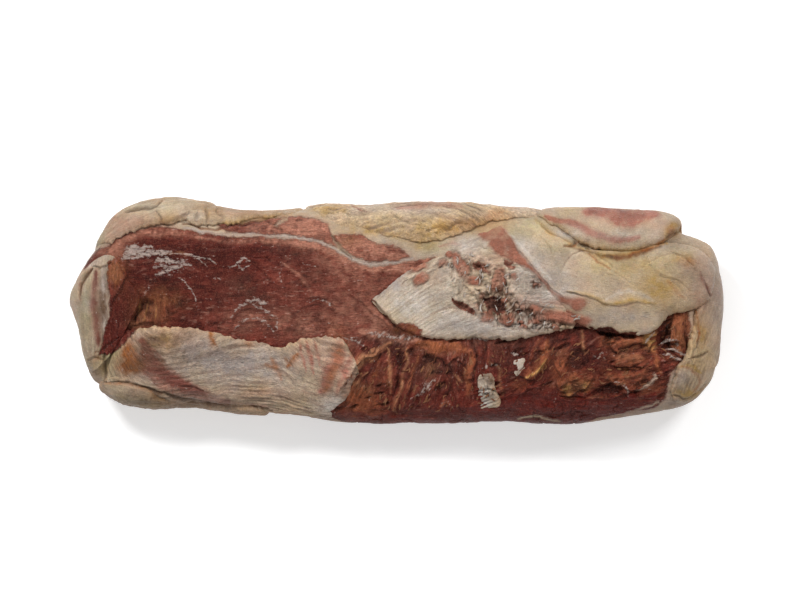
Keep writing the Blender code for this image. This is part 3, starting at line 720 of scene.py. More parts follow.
# Colours laid over the lean, in the same way
LEAN_TINTS = {
    "wine": (
        "#42120c",
        (
            ((-129, 47), 50, 8, 0.4), ((-63, 38), 16, 8, 0.35), ((-162, 39), 40, 12, 0.3),
            ((100, -32), 15, 10, 1.1), ((135, -53), 7, 5, 1.0), ((160, -49), 9, 7, 1.0),
            ((-204, 3), 16, 8, 0.35), ((193, -42), 9, 5, 0.7), ((48, -59), 8, 10, 0.4),
            ((36, -75), 10, 6, 0.3), ((119, -71), 24, 12, 0.5), ((29, -52), 12, 14, 0.4),
            ((152, -42), 14, 10, 0.5), ((36, -68), 24, 12, 0.3), ((-212, 1), 10, 12, 0.6),
            ((218, -20), 9, 9, 0.7), ((228, -30), 10, 6, 0.5), ((172, -66), 16, 6, 0.5),
            ((164, -37), 12, 9, 0.6), ((-223, 1), 13, 22, 0.7), ((168, -73), 60, 14, 0.5),
            ((61, -88), 90, 6, 0.5), ((3, -52), 12, 16, 0.4), ((85, -29), 24, 6, 0.3),
        ),
        (
            (2.0, 0.6, (97, 53), (102, 46), (108, 38)),
        ),
    ),
    "rosy": (
        "#b07863",
        (
            ((-43, 8), 44, 30, 0.27), ((-40, 55), 12, 7, 0.5), ((-65, 66), 14, 12, 0.9),
            ((-80, 69), 24, 8, 0.5), ((-80, -13), 20, 12, 0.35), ((-15, -5), 16, 12, 0.35),
            ((-38, 28), 18, 10, 0.25), ((-129, 19), 20, 10, 0.1), ((-121, -9), 26, 12, 0.35),
            ((-235, 47), 18, 7, 0.5), ((-104, 68), 50, 8, 0.45), ((-24, 49), 40, 12, 0.7),
            ((90, 54), 24, 18, 0.6), ((135, 6), 34, 12, 0.5), ((-12, 36), 26, 4, 0.5),
            ((67, 24), 46, 40, 0.8), ((135, -7), 34, 8, 0.3), ((-49, -43), 12, 30, 0.5),
            ((24, -58), 30, 16, 0.1), ((52, -93), 60, 5, 0.1), ((-179, -65), 30, 10, 0.4),
            ((19, 36), 16, 8, 0.3),
        ),
        (
            (3.0, 0.7, (-237, 49), (-225, 58), (-212, 63), (-195, 65), (-176, 62), (-158, 58)),
            (2.2, 0.55, (-158, 58), (-136, 55), (-111, 57), (-80, 55), (-57, 49), (-43, 41), (-20, 33),
                (3, 34)),
            (1.2, 0.4, (-95, 39), (-80, 28), (-71, 16)),
            (3.0, 0.9, (-30, -18), (-18, -20), (-5, -24), (7, -25), (19, -24)),
        ),
    ),
    "brown": (
        "#7d4c30",
        (
            ((234, -17), 9, 24, 0.7), ((191, -27), 18, 8, 0.45), ((-232, 31), 8, 13, 0.8),
            ((-195, 8), 18, 10, 0.6), ((188, -43), 14, 5, 0.25), ((190, -55), 20, 7, 0.6),
            ((9, -17), 12, 6, 0.7), ((143, -62), 16, 9, 0.6), ((85, 57), 12, 10, 0.3),
            ((-40, 57), 14, 6, 0.3), ((209, -68), 20, 8, 0.3),
        ),
        (),
    ),
    "tan": (
        "#9a6a4c",
        (
            ((-29, -70), 9, 7, 0.9), ((209, -24), 5, 6, 0.9), ((28, -51), 5, 7, 0.5),
            ((-204, -7), 12, 8, 0.5), ((-214, -13), 8, 3, 0.4), ((135, -35), 10, 6, 0.2),
            ((191, -38), 12, 4, 0.4), ((139, 4), 18, 4, 0.2), ((-38, 56), 10, 5, 0.3),
        ),
        (
            (2.6, 1.1, *PATHS["sheet_strand"]),
            (1.2, 0.6, *PATHS["short_strand"]),
            (1.3, 0.7, *PATHS["second_strand"]),
            (1.2, 0.7, *PATHS["third_strand"]),
            (1.0, 0.7, *PATHS["low_curl"]),
            (0.9, 0.6, (47, -52), (54, -60)),
            (1.4, 0.7, (153, -17), (154, -28), (155, -37)),
            (1.2, 0.6, (77, -43), (84, -48), (85, -60), (88, -71)),
            (1.2, 0.5, *PATHS["low_rib"]),
            (2.6, 0.5, (241, -2), (243, -17), (244, -33)),
            (1.0, 0.5, (176, -23), (177, -30)),
            (1.0, 0.5, (-190, 46), (-182, 47), (-171, 45)),
        ),
    ),
    "orange": (
        "#8c5033",
        (
            ((-32, -72), 9, 8, 1.1), ((-22, -82), 16, 8, 0.7), ((175, -26), 6, 5, 0.8),
            ((-13, -58), 7, 10, 0.4), ((102, -63), 8, 5, 0.4), ((-202, -2), 14, 12, 0.3),
            ((137, -47), 8, 8, 0.6), ((201, -67), 20, 6, 0.35), ((33, -32), 22, 5, 0.35),
            ((-49, -38), 8, 20, 0.9), ((228, -9), 8, 8, 0.4), ((-34, -75), 10, 8, 0.5),
        ),
        (
            (4.6, 0.8, *PATHS["shelf"]),
            (2.4, 0.7, *PATHS["hanging_strand"]),
            (3.6, 0.8, (125, -27), (123, -37), (117, -46), (109, -54)),
            (1.6, 0.7, (209, -30), (214, -37), (215, -47), (218, -52)),
            (2.0, 0.5, (137, -65), (145, -60), (155, -62)),
            (1.2, 0.5, (-20, -38), (-15, -43), (-20, -58), (-25, -71)),
            (1.2, 0.5, (18, -38), (14, -52), (9, -65)),
        ),
    ),
    "red": (
        "#5e160c",
        (
            ((-20, -83), 18, 8, 0.3), ((201, -75), 16, 6, 0.3), ((102, -71), 130, 22, 0.3),
        ),
        (
            (7.0, 0.45, (28, -86), (85, -81), (135, -76), (185, -73), (214, -71)),
            (5.0, 0.5, (-14, -91), (36, -94), (102, -94), (168, -88), (201, -84)),
        ),
    ),
    # golden fibres of the torn lean; the streak from (123, -41) to (106, -56) is a painted highlight along a
    # torn ridge
    "gold_and_painted_light": (
        "#b98a52",
        (
            ((154, -62), 5, 4, 0.6), ((209, -25), 5, 6, 1.2), ((142, -66), 5, 4, 0.5),
        ),
        (
            (1.2, 0.8, (123, -41), (119, -48), (112, -53), (106, -56)),
            (0.6, 0.4, (-211, 8), (-213, 1), (-214, -5)),
            (0.5, 0.3, (-205, 6), (-207, -4), (-209, -10)),
            (0.6, 0.4, (-199, 9), (-199, 3), (-200, -7)),
        ),
    ),
}

# The run of the fibres in the torn lean: centre, reach (mm) and degrees
LEAN_RUNS = (
    ((-204, 0), 16, 84), ((-43, -71), 30, 64), ((-18, -42), 26, 50), ((19, -54), 30, 62),
    ((61, -50), 26, 84), ((85, -75), 26, 20), ((123, -46), 26, 54), ((168, -79), 34, 4),
    ((156, -38), 22, 30), ((201, -46), 26, 12), ((237, -17), 16, 86),
)

# Where the fat is torn into crags, as soft spots: centre, reach along x and y (mm) and strength
CRAGGY_FAT = (
    ((75, -66), 10, 14, 0.7), ((77, 18), 34, 22, 1.0), ((51, 39), 18, 12, 0.7), ((102, -7), 24, 8, 0.8),
    ((135, -7), 22, 6, 0.6), ((242, -38), 12, 12, 0.5), ((29, 63), 22, 8, 0.5),
)

# Where the fat is broken into small chips, in the same way
CHIPPED_FAT = (
    ((81, 6), 18, 13, 1.0), ((100, -4), 18, 8, 1.0), ((125, -14), 20, 5, 1.0), ((72, 35), 7, 4, 0.8),
    ((115, 21), 6, 5, 0.8),
)


def smooth_through(knots, values, at):
    """A smooth curve through the points (knots, values), read at the places asked for: between every two
    knots a cubic that meets both values with the slopes found from their neighbours."""
    knots, values = np.asarray(knots, float), np.asarray(values, float)
    slopes = np.gradient(values, knots)
    at = np.clip(at, knots[0], knots[-1])
    i = np.clip(np.searchsorted(knots, at, side="right") - 1, 0, len(knots) - 2)
    span = knots[i + 1] - knots[i]
    t = (at - knots[i]) / span
    return (
        values[i] * (1 + 2 * t) * (1 - t) ** 2
        + slopes[i] * span * t * (1 - t) ** 2
        + values[i + 1] * t * t * (3 - 2 * t)
        + slopes[i + 1] * span * t * t * (t - 1)
    )


def curve_at(points, share):
    """The smooth curve through some points, read at shares 0 to 1 of its length, as (x, y): a cubic for x
    and one for y, both over the straight distance from point to point."""
    points = np.array(points, float)
    length = np.concatenate([[0], np.cumsum(np.linalg.norm(np.diff(points, axis=0), axis=1))])
    knots = length / length[-1]
    return smooth_through(knots, points[:, 0], share), smooth_through(knots, points[:, 1], share)


def eased(value, low, high):
    """0 below low, 1 above high, and a smooth step between."""
    t = np.clip((value - low) / (high - low), 0, 1)
    return t * t * (3 - 2 * t)


def signed_power(value, power):
    """The size of a value raised to a power, with the value's own sign."""
    return np.sign(value) * np.abs(value) ** power


def turned(x, y, degrees):
    """(x, y) in axes turned by this angle: along the new axis, and across it."""
    c, s = np.cos(np.radians(degrees)), np.sin(np.radians(degrees))
    return x * c + y * s, y * c - x * s


def scatter(i, j, seed):
    """A steady pseudo-random value from -1 to 1 for each whole-number place: its two numbers and the seed,
    each times a large number, are added, and the sum's bits are mixed by shifts and one more product."""
    n = (i.astype(np.int64) * 374761393 + j.astype(np.int64) * 668265263 + seed * 974634777) & 0xFFFFFFFF
    n = ((n ^ (n >> 13)) * 1274126177) & 0xFFFFFFFF
    return ((n ^ (n >> 16)) & 0xFFFFFF) / float(0x7FFFFF) - 1.0


def unevenness(x, y, size, seed, octaves=3):
    """Soft random hills of this size in mm: values at the corners of a square lattice, blended by a
    smooth step inside each square, with finer and weaker lattices added. About -1 to 1."""
    total, weight, reach = 0.0, 1.0, 0.0
    for octave in range(octaves):
        u, v = x / size + 17.3 * octave, y / size - 9.1 * octave
        i, j = np.floor(u), np.floor(v)
        s, t = u - i, v - j
        s, t = s * s * (3 - 2 * s), t * t * (3 - 2 * t)
        near = scatter(i, j, seed) * (1 - s) + scatter(i + 1, j, seed) * s
        far = scatter(i, j + 1, seed) * (1 - s) + scatter(i + 1, j + 1, seed) * s
        total = total + weight * (near * (1 - t) + far * t)
        reach += weight
        weight, size, seed = weight * 0.5, size * 0.47, seed + 7
    return total / reach * 1.5


def chips(x, y, size, seed):
    """Chips of broken crust: every square of a lattice has a point somewhere in it, and each place belongs
    to the nearest one. Handed back are a steady value from -1 to 1 for each chip, and how far each place
    is from its chip's border, in mm."""
    u, v = x / size, y / size
    i, j = np.floor(u), np.floor(v)
    first, second, value = np.full(x.shape, 9.0), np.full(x.shape, 9.0), np.zeros(x.shape)
    for p, q in ((i + a, j + b) for a in (-1, 0, 1) for b in (-1, 0, 1)):
        far = np.hypot(p + 0.5 + 0.42 * scatter(p, q, seed) - u, q + 0.5 + 0.42 * scatter(p, q, seed + 1) - v)
        value = np.where(far < first, scatter(p, q, seed + 2), value)
        second = np.minimum(second, np.maximum(first, far))
        first = np.minimum(first, far)
    return value, (second - first) * size / 2


def fibres(x, y, degrees, length, width, seed, octaves=2):
    """The same hills drawn out along one direction, as muscle fibres or the lines in fat are."""
    along, across = turned(x, y, degrees)
    return unevenness(along * width / length, across, width, seed, octaves)


def around_end(x):
    """Turns x into an angle along the slab, which opens out the blunt ends where the edges turn steep."""
    return np.arcsin(np.clip(2 * x / LENGTH, -1, 1))


def edge_y(edge, x):
    """The y of a long edge of the slab at x, smooth through its points over the opened-out x."""
    knots, values = np.array(edge, float).T
    return smooth_through(around_end(knots), values, around_end(x))


def spread(x):
    """The middle line and half width of the slab at x, from its two long edges."""
    far, near = edge_y(FAR_EDGE, x), edge_y(NEAR_EDGE, x)
    return (far + near) / 2, np.maximum((far - near) / 2, 1e-6)


def bells(x, y, spots):
    """The sum of some soft round spots, each a (centre, reach along x, reach along y, strength)."""
    total = np.zeros(x.shape)
    for centre, reach_x, reach_y, strength in spots:
        total += strength * np.exp(-(((x - centre[0]) / reach_x) ** 2) - ((y - centre[1]) / reach_y) ** 2)
    return total


def off_tips(x):
    """x, kept a little way off the very tips of the slab."""
    return np.clip(x, END_STOP - LENGTH / 2, LENGTH / 2 - END_STOP)


def slab_point(x, turn):
    """A point of the slab's skin: at x along it, and at the angle turn around its section, 0 being the
    far long edge and a quarter turn the top. The section is a superellipse, swollen over the muscles."""
    x = off_tips(x)
    middle, half = spread(x)
    across, upward = np.cos(turn), np.sin(turn)
    y = middle + half * signed_power(across, 2 / SECTION_POWER)
    centre = THICKNESS * smooth_through(*zip(*THICKNESS_ALONG), x) / 2
    blunt = (1 - np.minimum(np.abs(2 * x / LENGTH), 1) ** END_POWER) ** (1 / END_POWER)
    z = centre * (1 + blunt * signed_power(upward, 2 / SECTION_POWER))
    z = z + np.sqrt(np.maximum(upward, 0)) * blunt * bells(x, y, SWELLS)
    return np.stack([x, y, z], axis=-1)


def lifted(x, turn, lift):
    """The slab's skin moved outwards by lift, along the skin's own normal."""
    step = 1e-3
    along = slab_point(x + step * LENGTH, turn) - slab_point(x - step * LENGTH, turn)
    around = slab_point(x, turn + step) - slab_point(x, turn - step)
    normal = np.cross(around, along)
    normal /= np.linalg.norm(normal, axis=-1, keepdims=True) + 1e-12
    return slab_point(x, turn) + normal * np.asarray(lift)[..., None]


def turn_at(x, y):
    """The angle around the section whose skin lies at (x, y) on the top. A y past the edge goes on
    down the side by as much."""
    middle, half = spread(off_tips(x))
    share = (y - middle) / half
    past = np.abs(share) > 1
    mirrored = np.where(past, np.sign(share) * 2 - share, share)
    turn = np.arccos(np.clip(signed_power(mirrored, SECTION_POWER / 2), -1, 1))
    return np.where(past, np.where(share > 0, -turn, 2 * np.pi - turn), turn)


def unrolled(x, y, z):
    """Where a point of the skin would lie if the skin were laid flat: down the flanks and both ends the
    drop in height is added to the distance from the middle."""
    middle, half = spread(off_tips(x))
    drop = np.maximum(50 - z, 0)
    return x + signed_power(2 * x / LENGTH, 11) * drop, y + np.clip((y - middle) / half, -1.2, 1.2) * drop


def boxed(x, y, points, margin):
    """Whether each place lies in the box around some points, widened by a margin on every side."""
    low, high = points.min(axis=0) - margin, points.max(axis=0) + margin
    return (x > low[0]) & (x < high[0]) & (y > low[1]) & (y < high[1])


def nearest(u, v, a, d):
    """At which share of the straight stretch that runs from a by d it comes nearest to each place."""
    return np.clip(((u - a[0]) * d[0] + (v - a[1]) * d[1]) / max(d @ d, 1e-9), 0, 1)


def near_path(x, y, path, margin):
    """How far each place is from a smooth path, at which share of the path, and whether it lies on its
    left; far places, over margin mm outside the path's own box, get a distance of 1000."""
    ways = 6 * (len(path) - 1) + 1
    line = np.stack(curve_at(path, np.linspace(0, 1, ways)), axis=-1)
    close = boxed(x, y, line, margin)
    distance, share, left = np.full(x.shape, 1000.0), np.zeros(x.shape), np.zeros(x.shape, bool)
    u, v = x[close], y[close]
    best, at, on_left = np.full(u.shape, 1000.0), np.zeros(u.shape), np.zeros(u.shape, bool)
    for k, (a, b) in enumerate(zip(line, line[1:])):
        d = b - a
        t = nearest(u, v, a, d)
        gap = np.hypot(u - a[0] - t * d[0], v - a[1] - t * d[1])
        at = np.where(gap < best, (k + t) / (ways - 1), at)
        on_left = np.where(gap < best, d[0] * (v - a[1]) > d[1] * (u - a[0]), on_left)
        best = np.minimum(best, gap)
    distance[close], share[close], left[close] = best, at, on_left
    return distance, share, left


def fullness(share):
    """How full a drawn line is along its path: 1 in the middle, and less towards both of its ends."""
    return np.sin(np.pi * np.clip(share, 0.02, 0.98)) ** 0.5


def streak(x, y, half_width, path, reach=1.0):
    """How much of a streak lies at each place: 1 on the path, fading to 0 at about twice the half width,
    and thinner towards both ends of the path. A longer reach lets it fade more slowly."""
    distance, share, _ = near_path(x, y, path, (4 * half_width + 2) * reach)
    taper = half_width * reach * (0.3 + 0.7 * fullness(share))
    return np.exp(-0.7 * (distance / taper) ** 2)


def strongest(x, y, streaks):
    """The strongest of some streaks at each place, each a (half width, strength, points of its path)."""
    total = np.zeros(x.shape)
    for half_width, strength, *path in streaks:
        total = np.maximum(total, strength * streak(x, y, half_width, path))
    return total


def inside(x, y, outline):
    """How deep each place lies inside an outline, in mm: its distance from the nearest side, negative
    outside the outline. Places further from the outline's box than a margin count as that far away."""
    outline, margin = np.array(outline, float), 12.0
    close = boxed(x, y, outline, margin)
    u, v = x[close], y[close]
    best, wrapped = np.full(u.shape, 1e6), np.zeros(u.shape, bool)
    for a, b in zip(outline, np.roll(outline, -1, axis=0)):
        d = b - a
        t = nearest(u, v, a, d)
        best = np.minimum(best, (u - a[0] - t * d[0]) ** 2 + (v - a[1] - t * d[1]) ** 2)
        crosses = (a[1] > v) != (b[1] > v)
        wrapped ^= crosses & (u < a[0] + (v - a[1]) * d[0] / (d[1] if abs(d[1]) > 1e-9 else 1e-9))
    depth = np.full(x.shape, -margin)
    depth[close] = np.where(wrapped, 1, -1) * np.sqrt(best)
    return depth


def deepest(x, y, outlines):
    """The greatest of each place's depths inside some outlines, in mm."""
    return np.max([inside(x, y, outline) for outline in outlines.values()], axis=0)


def island(x, y, centre, half_length, half_width, degrees):
    """Roughly how deep each place lies inside an oval, in mm: 1 less the place's distance from the centre
    in half lengths and half widths, times the smaller half."""
    along, across = turned(x - centre[0], y - centre[1], degrees)
    return (1 - np.hypot(along / half_length, across / half_width)) * min(half_length, half_width)


def as_seen(x, y, seed, wander=1.0):
    """The place at which the eye above sees a point of the top face, in the outline's own plane, and made
    to wander a little, so that nothing drawn there keeps a ruled edge."""
    return (
        VIEW_CENTRE[0] + (x - VIEW_CENTRE[0]) / TOP_DRAWN_IN + wander * unevenness(x, y, 7, seed),
        VIEW_CENTRE[1] + (y - VIEW_CENTRE[1]) / TOP_DRAWN_IN + wander * unevenness(x, y, 7, seed + 1),
    )


def drawn_in(x, y):
    """The place on the top face that the eye above sees at a place of the outline's plane: its way from
    the middle of the view, a little shortened."""
    return (
        VIEW_CENTRE[0] + (x - VIEW_CENTRE[0]) * TOP_DRAWN_IN,
        VIEW_CENTRE[1] + (y - VIEW_CENTRE[1]) * TOP_DRAWN_IN,
    )


def linear(code):
    """A colour code as people write it, made the linear colour that light adds up in by undoing the
    curve that screens use."""
    parts = np.array([int(code[i : i + 2], 16) for i in (1, 3, 5)]) / 255
    return np.where(parts <= 0.04045, parts / 12.92, ((parts + 0.055) / 1.055) ** 2.4)


def laid_over(flesh, code, share):
    """One colour laid over others: each goes towards it by a share of 0 to 1."""
    return flesh + (linear(code) - flesh) * np.clip(share, 0, 1)[..., None]


def tinted(flesh, x, y, skin, tints, mottling, seed):
    """Lays tints over colours. Each is thinned and thickened by its own unevenness of the skin."""
    for number, (code, spots, streaks) in enumerate(tints.values()):
        share = bells(x, y, spots) + strongest(x, y, streaks)
        own = seed + 10 * number
        mottled = 0.9 * unevenness(*skin, 6, own) + 0.5 * unevenness(*skin, 2, own + 3)
        flesh = laid_over(flesh, code, share * (1 + mottling * np.maximum(mottled, -0.5)))
    return flesh


def fat_colours(x, y, skin, upward, relief, crease, lines, lip, blush):
    """Fat: cream, cooler and pinker in patches, then its tints, golden near a lip as a painted warm shade,
    and flushed brown-pink where muscle shows through; lighter on raised relief and darker in hollows and
    creases, the painted light and shade of its relief; a painted shade down the flanks, heavier on the near
    side; and down the lower flanks and underneath the golden brown of the smoke."""
    cool = 0.5 + 0.4 * unevenness(*skin, 28, 201) + 0.14 * unevenness(*skin, 4, 202)
    mixed = unevenness(*skin, 12, 203)
    flesh = laid_over(np.broadcast_to(linear("#c7ad8a"), (*x.shape, 3)), "#b7a698", cool)
    flesh = laid_over(flesh, "#b48774", 0.28 * mixed)
    flesh = laid_over(flesh, "#a79a70", -0.22 * mixed)
    flesh = tinted(flesh, x, y, skin, FAT_TINTS, 0.6, 210)
    # painted warm shade: golden-orange near a fold's lip, where the shadow under the lip falls
    flesh = laid_over(flesh, "#b5844a", lip)
    flesh = laid_over(flesh, "#96604d", blush * (1 + 0.3 * unevenness(*skin, 5, 206)))
    # painted shade: brown-grey down the flanks and underneath, heavier on the near side, as the light comes
    # from behind
    flesh = laid_over(flesh, "#7b5a40", (0.42 - 0.25 * np.sign(y)) * (1 - eased(upward, 0.0, 0.6)))
    smoked = 0.6 * (1 - eased(upward, -0.6, 0.1)) * (1 + unevenness(*skin, 18, 204))
    flesh = laid_over(flesh, "#8a683c", smoked)
    flesh = laid_over(flesh, "#80604f", 0.3 * np.maximum(-lines, 0) * np.ones(x.shape))
    # painted light and shade: lighter on raised relief and darker in hollows; the fine random tone and the
    # fine lines are the fat's own
    light = 1 + 0.18 * np.clip(relief, -2, 1.5) + 0.08 * unevenness(*skin, 2.4, 205, 2) + 0.08 * lines
    # painted shade: brown in creases, cracks, pits and holes
    return laid_over(flesh * light[..., None], "#5a3826", 0.7 * crease)


def lean_colours(x, y, skin, along, across, relief, crease, torn):
    """Lean: from dark wine to rosy along its own fibres, paler on ridges, then its tints; the torn face tan
    on its crests. The paleness on ridges and crests is painted light, the darkening in hollows and creases
    painted shade."""
    tone = 0.35 - 0.08 * torn + 0.12 * unevenness(*skin, 24, 301) + 0.10 * unevenness(*skin, 4, 302)
    # its last term is painted light: the lean paler on raised relief
    tone += 0.10 * fibres(along, across, 0, 8, 2.0, 303) + 0.05 * np.clip(relief, -2, 2)
    stops = np.array([linear(code) for code in LEAN_STOPS])
    flesh = np.stack([np.interp(tone, np.linspace(0, 1, len(stops)), part) for part in stops.T], axis=-1)
    # painted highlight: tan on the raised crests of the torn lean
    crest_highlight = torn * eased(relief, 0.7, 2.6) * (0.4 + 0.6 * unevenness(*skin, 12, 304))
    flesh = laid_over(flesh, "#8d5238", crest_highlight)
    flecks = eased(fibres(along, across, 0, 5, 1.6, 305), 0.45, 0.95) * (0.5 + unevenness(*skin, 20, 306))
    flesh = laid_over(flesh, "#ad7d6d", 0.45 * flecks)
    flesh = tinted(flesh, x, y, skin, LEAN_TINTS, 1.0, 310)
    # painted light and shade: lighter on raised relief and darker in hollows, more so on the torn face
    light = 1 + (0.10 + 0.10 * torn) * np.clip(relief, -3, 2)
    # painted shade: near black in creases, cracks, pits and holes
    return laid_over(flesh * light[..., None], "#1c0807", 0.85 * crease)


def drawn(x, y, upward):
    """What is drawn on the surface: its relief in mm, the shade of its creases and holes, and the depth
    of the holes. A crease is a furrow between swollen shoulders, and a ridge a rounded strand. A flap's
    edge stands high on the left of its path and drops at once on the right. A hole is a ragged hollow."""
    relief, shade, hollow = np.zeros(x.shape), np.zeros(x.shape), np.zeros(x.shape)
    ragged = 1.6 * unevenness(x, y, 4, 77)
    for half_width, deep, *path in CREASES:
        here = streak(x, y, half_width, path)
        relief += 0.5 * deep * streak(x, y, half_width, path, 3.0) - 1.35 * deep * here
        shade = np.maximum(shade, here * min(0.7, 0.35 * max(deep - 0.8, 0.1)))
    for half_width, height, *path in RIDGES:
        relief += height * streak(x, y, half_width, path)
    for height, reach, *path in FLAPS:
        distance, share, left = near_path(x, y, path, 3 * reach)
        full = fullness(share)
        relief += height * full * np.where(left, np.exp(-distance / reach), np.exp(-((distance / 0.6) ** 2)))
        # painted shadow: dark just off the low side of a flap's edge
        dark = min(0.9, 0.5 * height) * full * np.exp(-((distance / 1.5) ** 2))
        shade = np.maximum(shade, np.where(left, 0, dark))
    for deep, *outline in HOLES.values():
        hollow = np.maximum(hollow, deep * eased(inside(x, y, outline) + ragged, -1.4, 1.8))
    top = eased(upward, 0.05, 0.35)
    return (relief - hollow) * top, np.maximum(shade, 0.17 * hollow) * top, hollow


def put_in_scene(name, data):
    """A new object in the scene that holds a mesh, a lamp or a camera."""
    made = bpy.data.objects.new(name, data)
    bpy.context.scene.collection.objects.link(made)
    return made


def write_mark(mesh, key, values):
    """Gives the points of a mesh an attribute: a colour where each has three values, or else a number."""
    if values.shape[1] == 3:
        layer = mesh.attributes.new(key, "FLOAT_COLOR", "POINT")
        values = np.concatenate([np.clip(values, 0, 1), np.ones((len(values), 1))], axis=1)
        layer.data.foreach_set("color", values.ravel().astype(np.float32))
    else:
        layer = mesh.attributes.new(key, "FLOAT", "POINT")
        layer.data.foreach_set("value", values.ravel().astype(np.float32))


def closed_mesh(name, rings, marks, grain):
    """A mesh of one or more closed pieces, from rings of points (pieces by stations by samples, mm) with
    a pole in the middle of both end rings. marks are attributes of the rings' points, and grain their
    place in mm along and across the fine lines."""
    pieces, stations, samples = rings.shape[:3]
    corners = {}
    for key, value in {"points": rings, "grain": grain, **marks}.items():
        value = value.reshape(pieces, stations, samples, -1)
        ends = np.stack([value[:, 0].mean(axis=1), value[:, -1].mean(axis=1)], axis=1)
        value = np.concatenate([value.reshape(pieces, stations * samples, -1), ends], axis=1)
        corners[key] = value.reshape(-1, value.shape[-1])
    points, grain = corners.pop("points") * MM, corners.pop("grain")
    i = np.arange(stations - 1)[:, None] * samples
    j = np.arange(samples)[None]
    k = (j + 1) % samples
    quads = np.stack([i + j, i + samples + j, i + samples + k, i + k], axis=-1).reshape(-1, 4)
    last = (stations - 1) * samples
    first_cap = np.stack([k[0], np.full(samples, stations * samples), j[0]], axis=-1)
    last_cap = np.stack([last + j[0], np.full(samples, stations * samples + 1), last + k[0]], axis=-1)
    bases = np.arange(pieces)[:, None, None] * (stations * samples + 2)
    quads = (quads[None] + bases).reshape(-1, 4)
    caps = (np.concatenate([first_cap, last_cap])[None] + bases).reshape(-1, 3)
    spans = points[quads]
    middle = rings.reshape(pieces, -1, 3).mean(axis=1).repeat(len(quads) // pieces, axis=0) * MM
    facing = np.cross(spans[:, 2] - spans[:, 0], spans[:, 3] - spans[:, 1])
    if np.einsum("ij,ij->i", spans.mean(axis=1) - middle, facing).sum() < 0:
        quads, caps = quads[:, ::-1], caps[:, ::-1]
    mesh = bpy.data.meshes.new(name)
    mesh.from_pydata(points.tolist(), [], quads.tolist() + caps.tolist())
    mesh.update()
    for key, value in corners.items():
        write_mark(mesh, key, value)
    corner = np.empty(len(mesh.loops), np.int32)
    mesh.loops.foreach_get("vertex_index", corner)
    layer = mesh.uv_layers.new(name="grain")
    layer.data.foreach_set("uv", grain[corner].ravel().astype(np.float32))
    mesh.shade_smooth()
    return put_in_scene(name, mesh)


def girth_turns(over_top, underneath):
    """The angles around a section at which the slab is sampled: evenly along its outline, and closer
    together over the top and shoulders than underneath."""
    turn = np.linspace(-0.5 * np.pi, 1.5 * np.pi, 4001)
    section = slab_point(np.zeros(turn.shape), turn)
    step = np.linalg.norm(np.diff(section, axis=0), axis=1)
    top = np.sin(turn[1:]) > -0.12
    weight = step * np.where(top, over_top / step[top].sum(), underneath / step[~top].sum())
    reached = np.concatenate([[0], np.cumsum(weight)])
    return np.interp(np.linspace(0, reached[-1], over_top + underneath + 1)[:-1], reached, turn)


def run_here(x, y):
    """The run of the torn lean's fibres at each place, in degrees: that of the nearest stretch."""
    far = [
        np.hypot(x - centre[0], y - centre[1]) / reach + 0.25 * unevenness(x, y, 9, 90 + number)
        for number, (centre, reach, _) in enumerate(LEAN_RUNS)
    ]
    return np.array([run for _, _, run in LEAN_RUNS])[np.argmin(far, axis=0)]


def torn_relief(x, y):
    """Torn lean: bundles of fibres, rounded and with sharp creases between them, each stretch of the
    muscle with its own run, blended where the stretches meet."""
    total, weights = 0.0, 1e-6
    for seed, (centre, reach, degrees) in enumerate(LEAN_RUNS):
        weight = np.exp(-((x - centre[0]) ** 2 + (y - centre[1]) ** 2) / reach**2)
        coarse = 2.2 * np.abs(fibres(x, y, degrees, 26, 6.5, 60 + 5 * seed)) - 0.6
        fine = 2.0 * np.abs(fibres(x, y, degrees + 10, 14, 3.0, 62 + 5 * seed)) - 0.6
        total = total + weight * (0.8 * coarse + 0.55 * fine)
        weights = weights + weight
    return total / weights + 0.7 * unevenness(x, y, 13, 41)


def lean_layers(x, z):
    """How deep each place of a flank lies inside one of two wandering layers of lean, in mm. The fat
    closes over the layers towards both ends."""
    layers = np.maximum(
        5.0 + 2.5 * unevenness(x, z, 40, 8) - np.abs(z - 23 - 2.5 * unevenness(x, z, 70, 9)),
        2.5 + 1.5 * unevenness(x, z, 30, 10) - np.abs(z - 10 - 2 * unevenness(x, z, 60, 11)),
    )
    return layers - 9 * eased(np.abs(x) + 8 * unevenness(x, z, 20, 12), 205, 250)


def broad_swelling(x, turn):
    """The broad soft swellings of the whole slab in mm: two products of waves along it and around it,
    which grow weaker towards both ends."""
    waves = np.sin(x / 31 + 3 * np.sin(turn)) * np.sin(2 * turn + x / 47)
    waves = waves + 0.8 * np.sin(x / 19 + 5 * np.cos(turn)) * np.cos(x / 61 + turn)
    return 1.2 * waves * np.sqrt(np.maximum(1 - (2 * x / LENGTH) ** 2, 0))


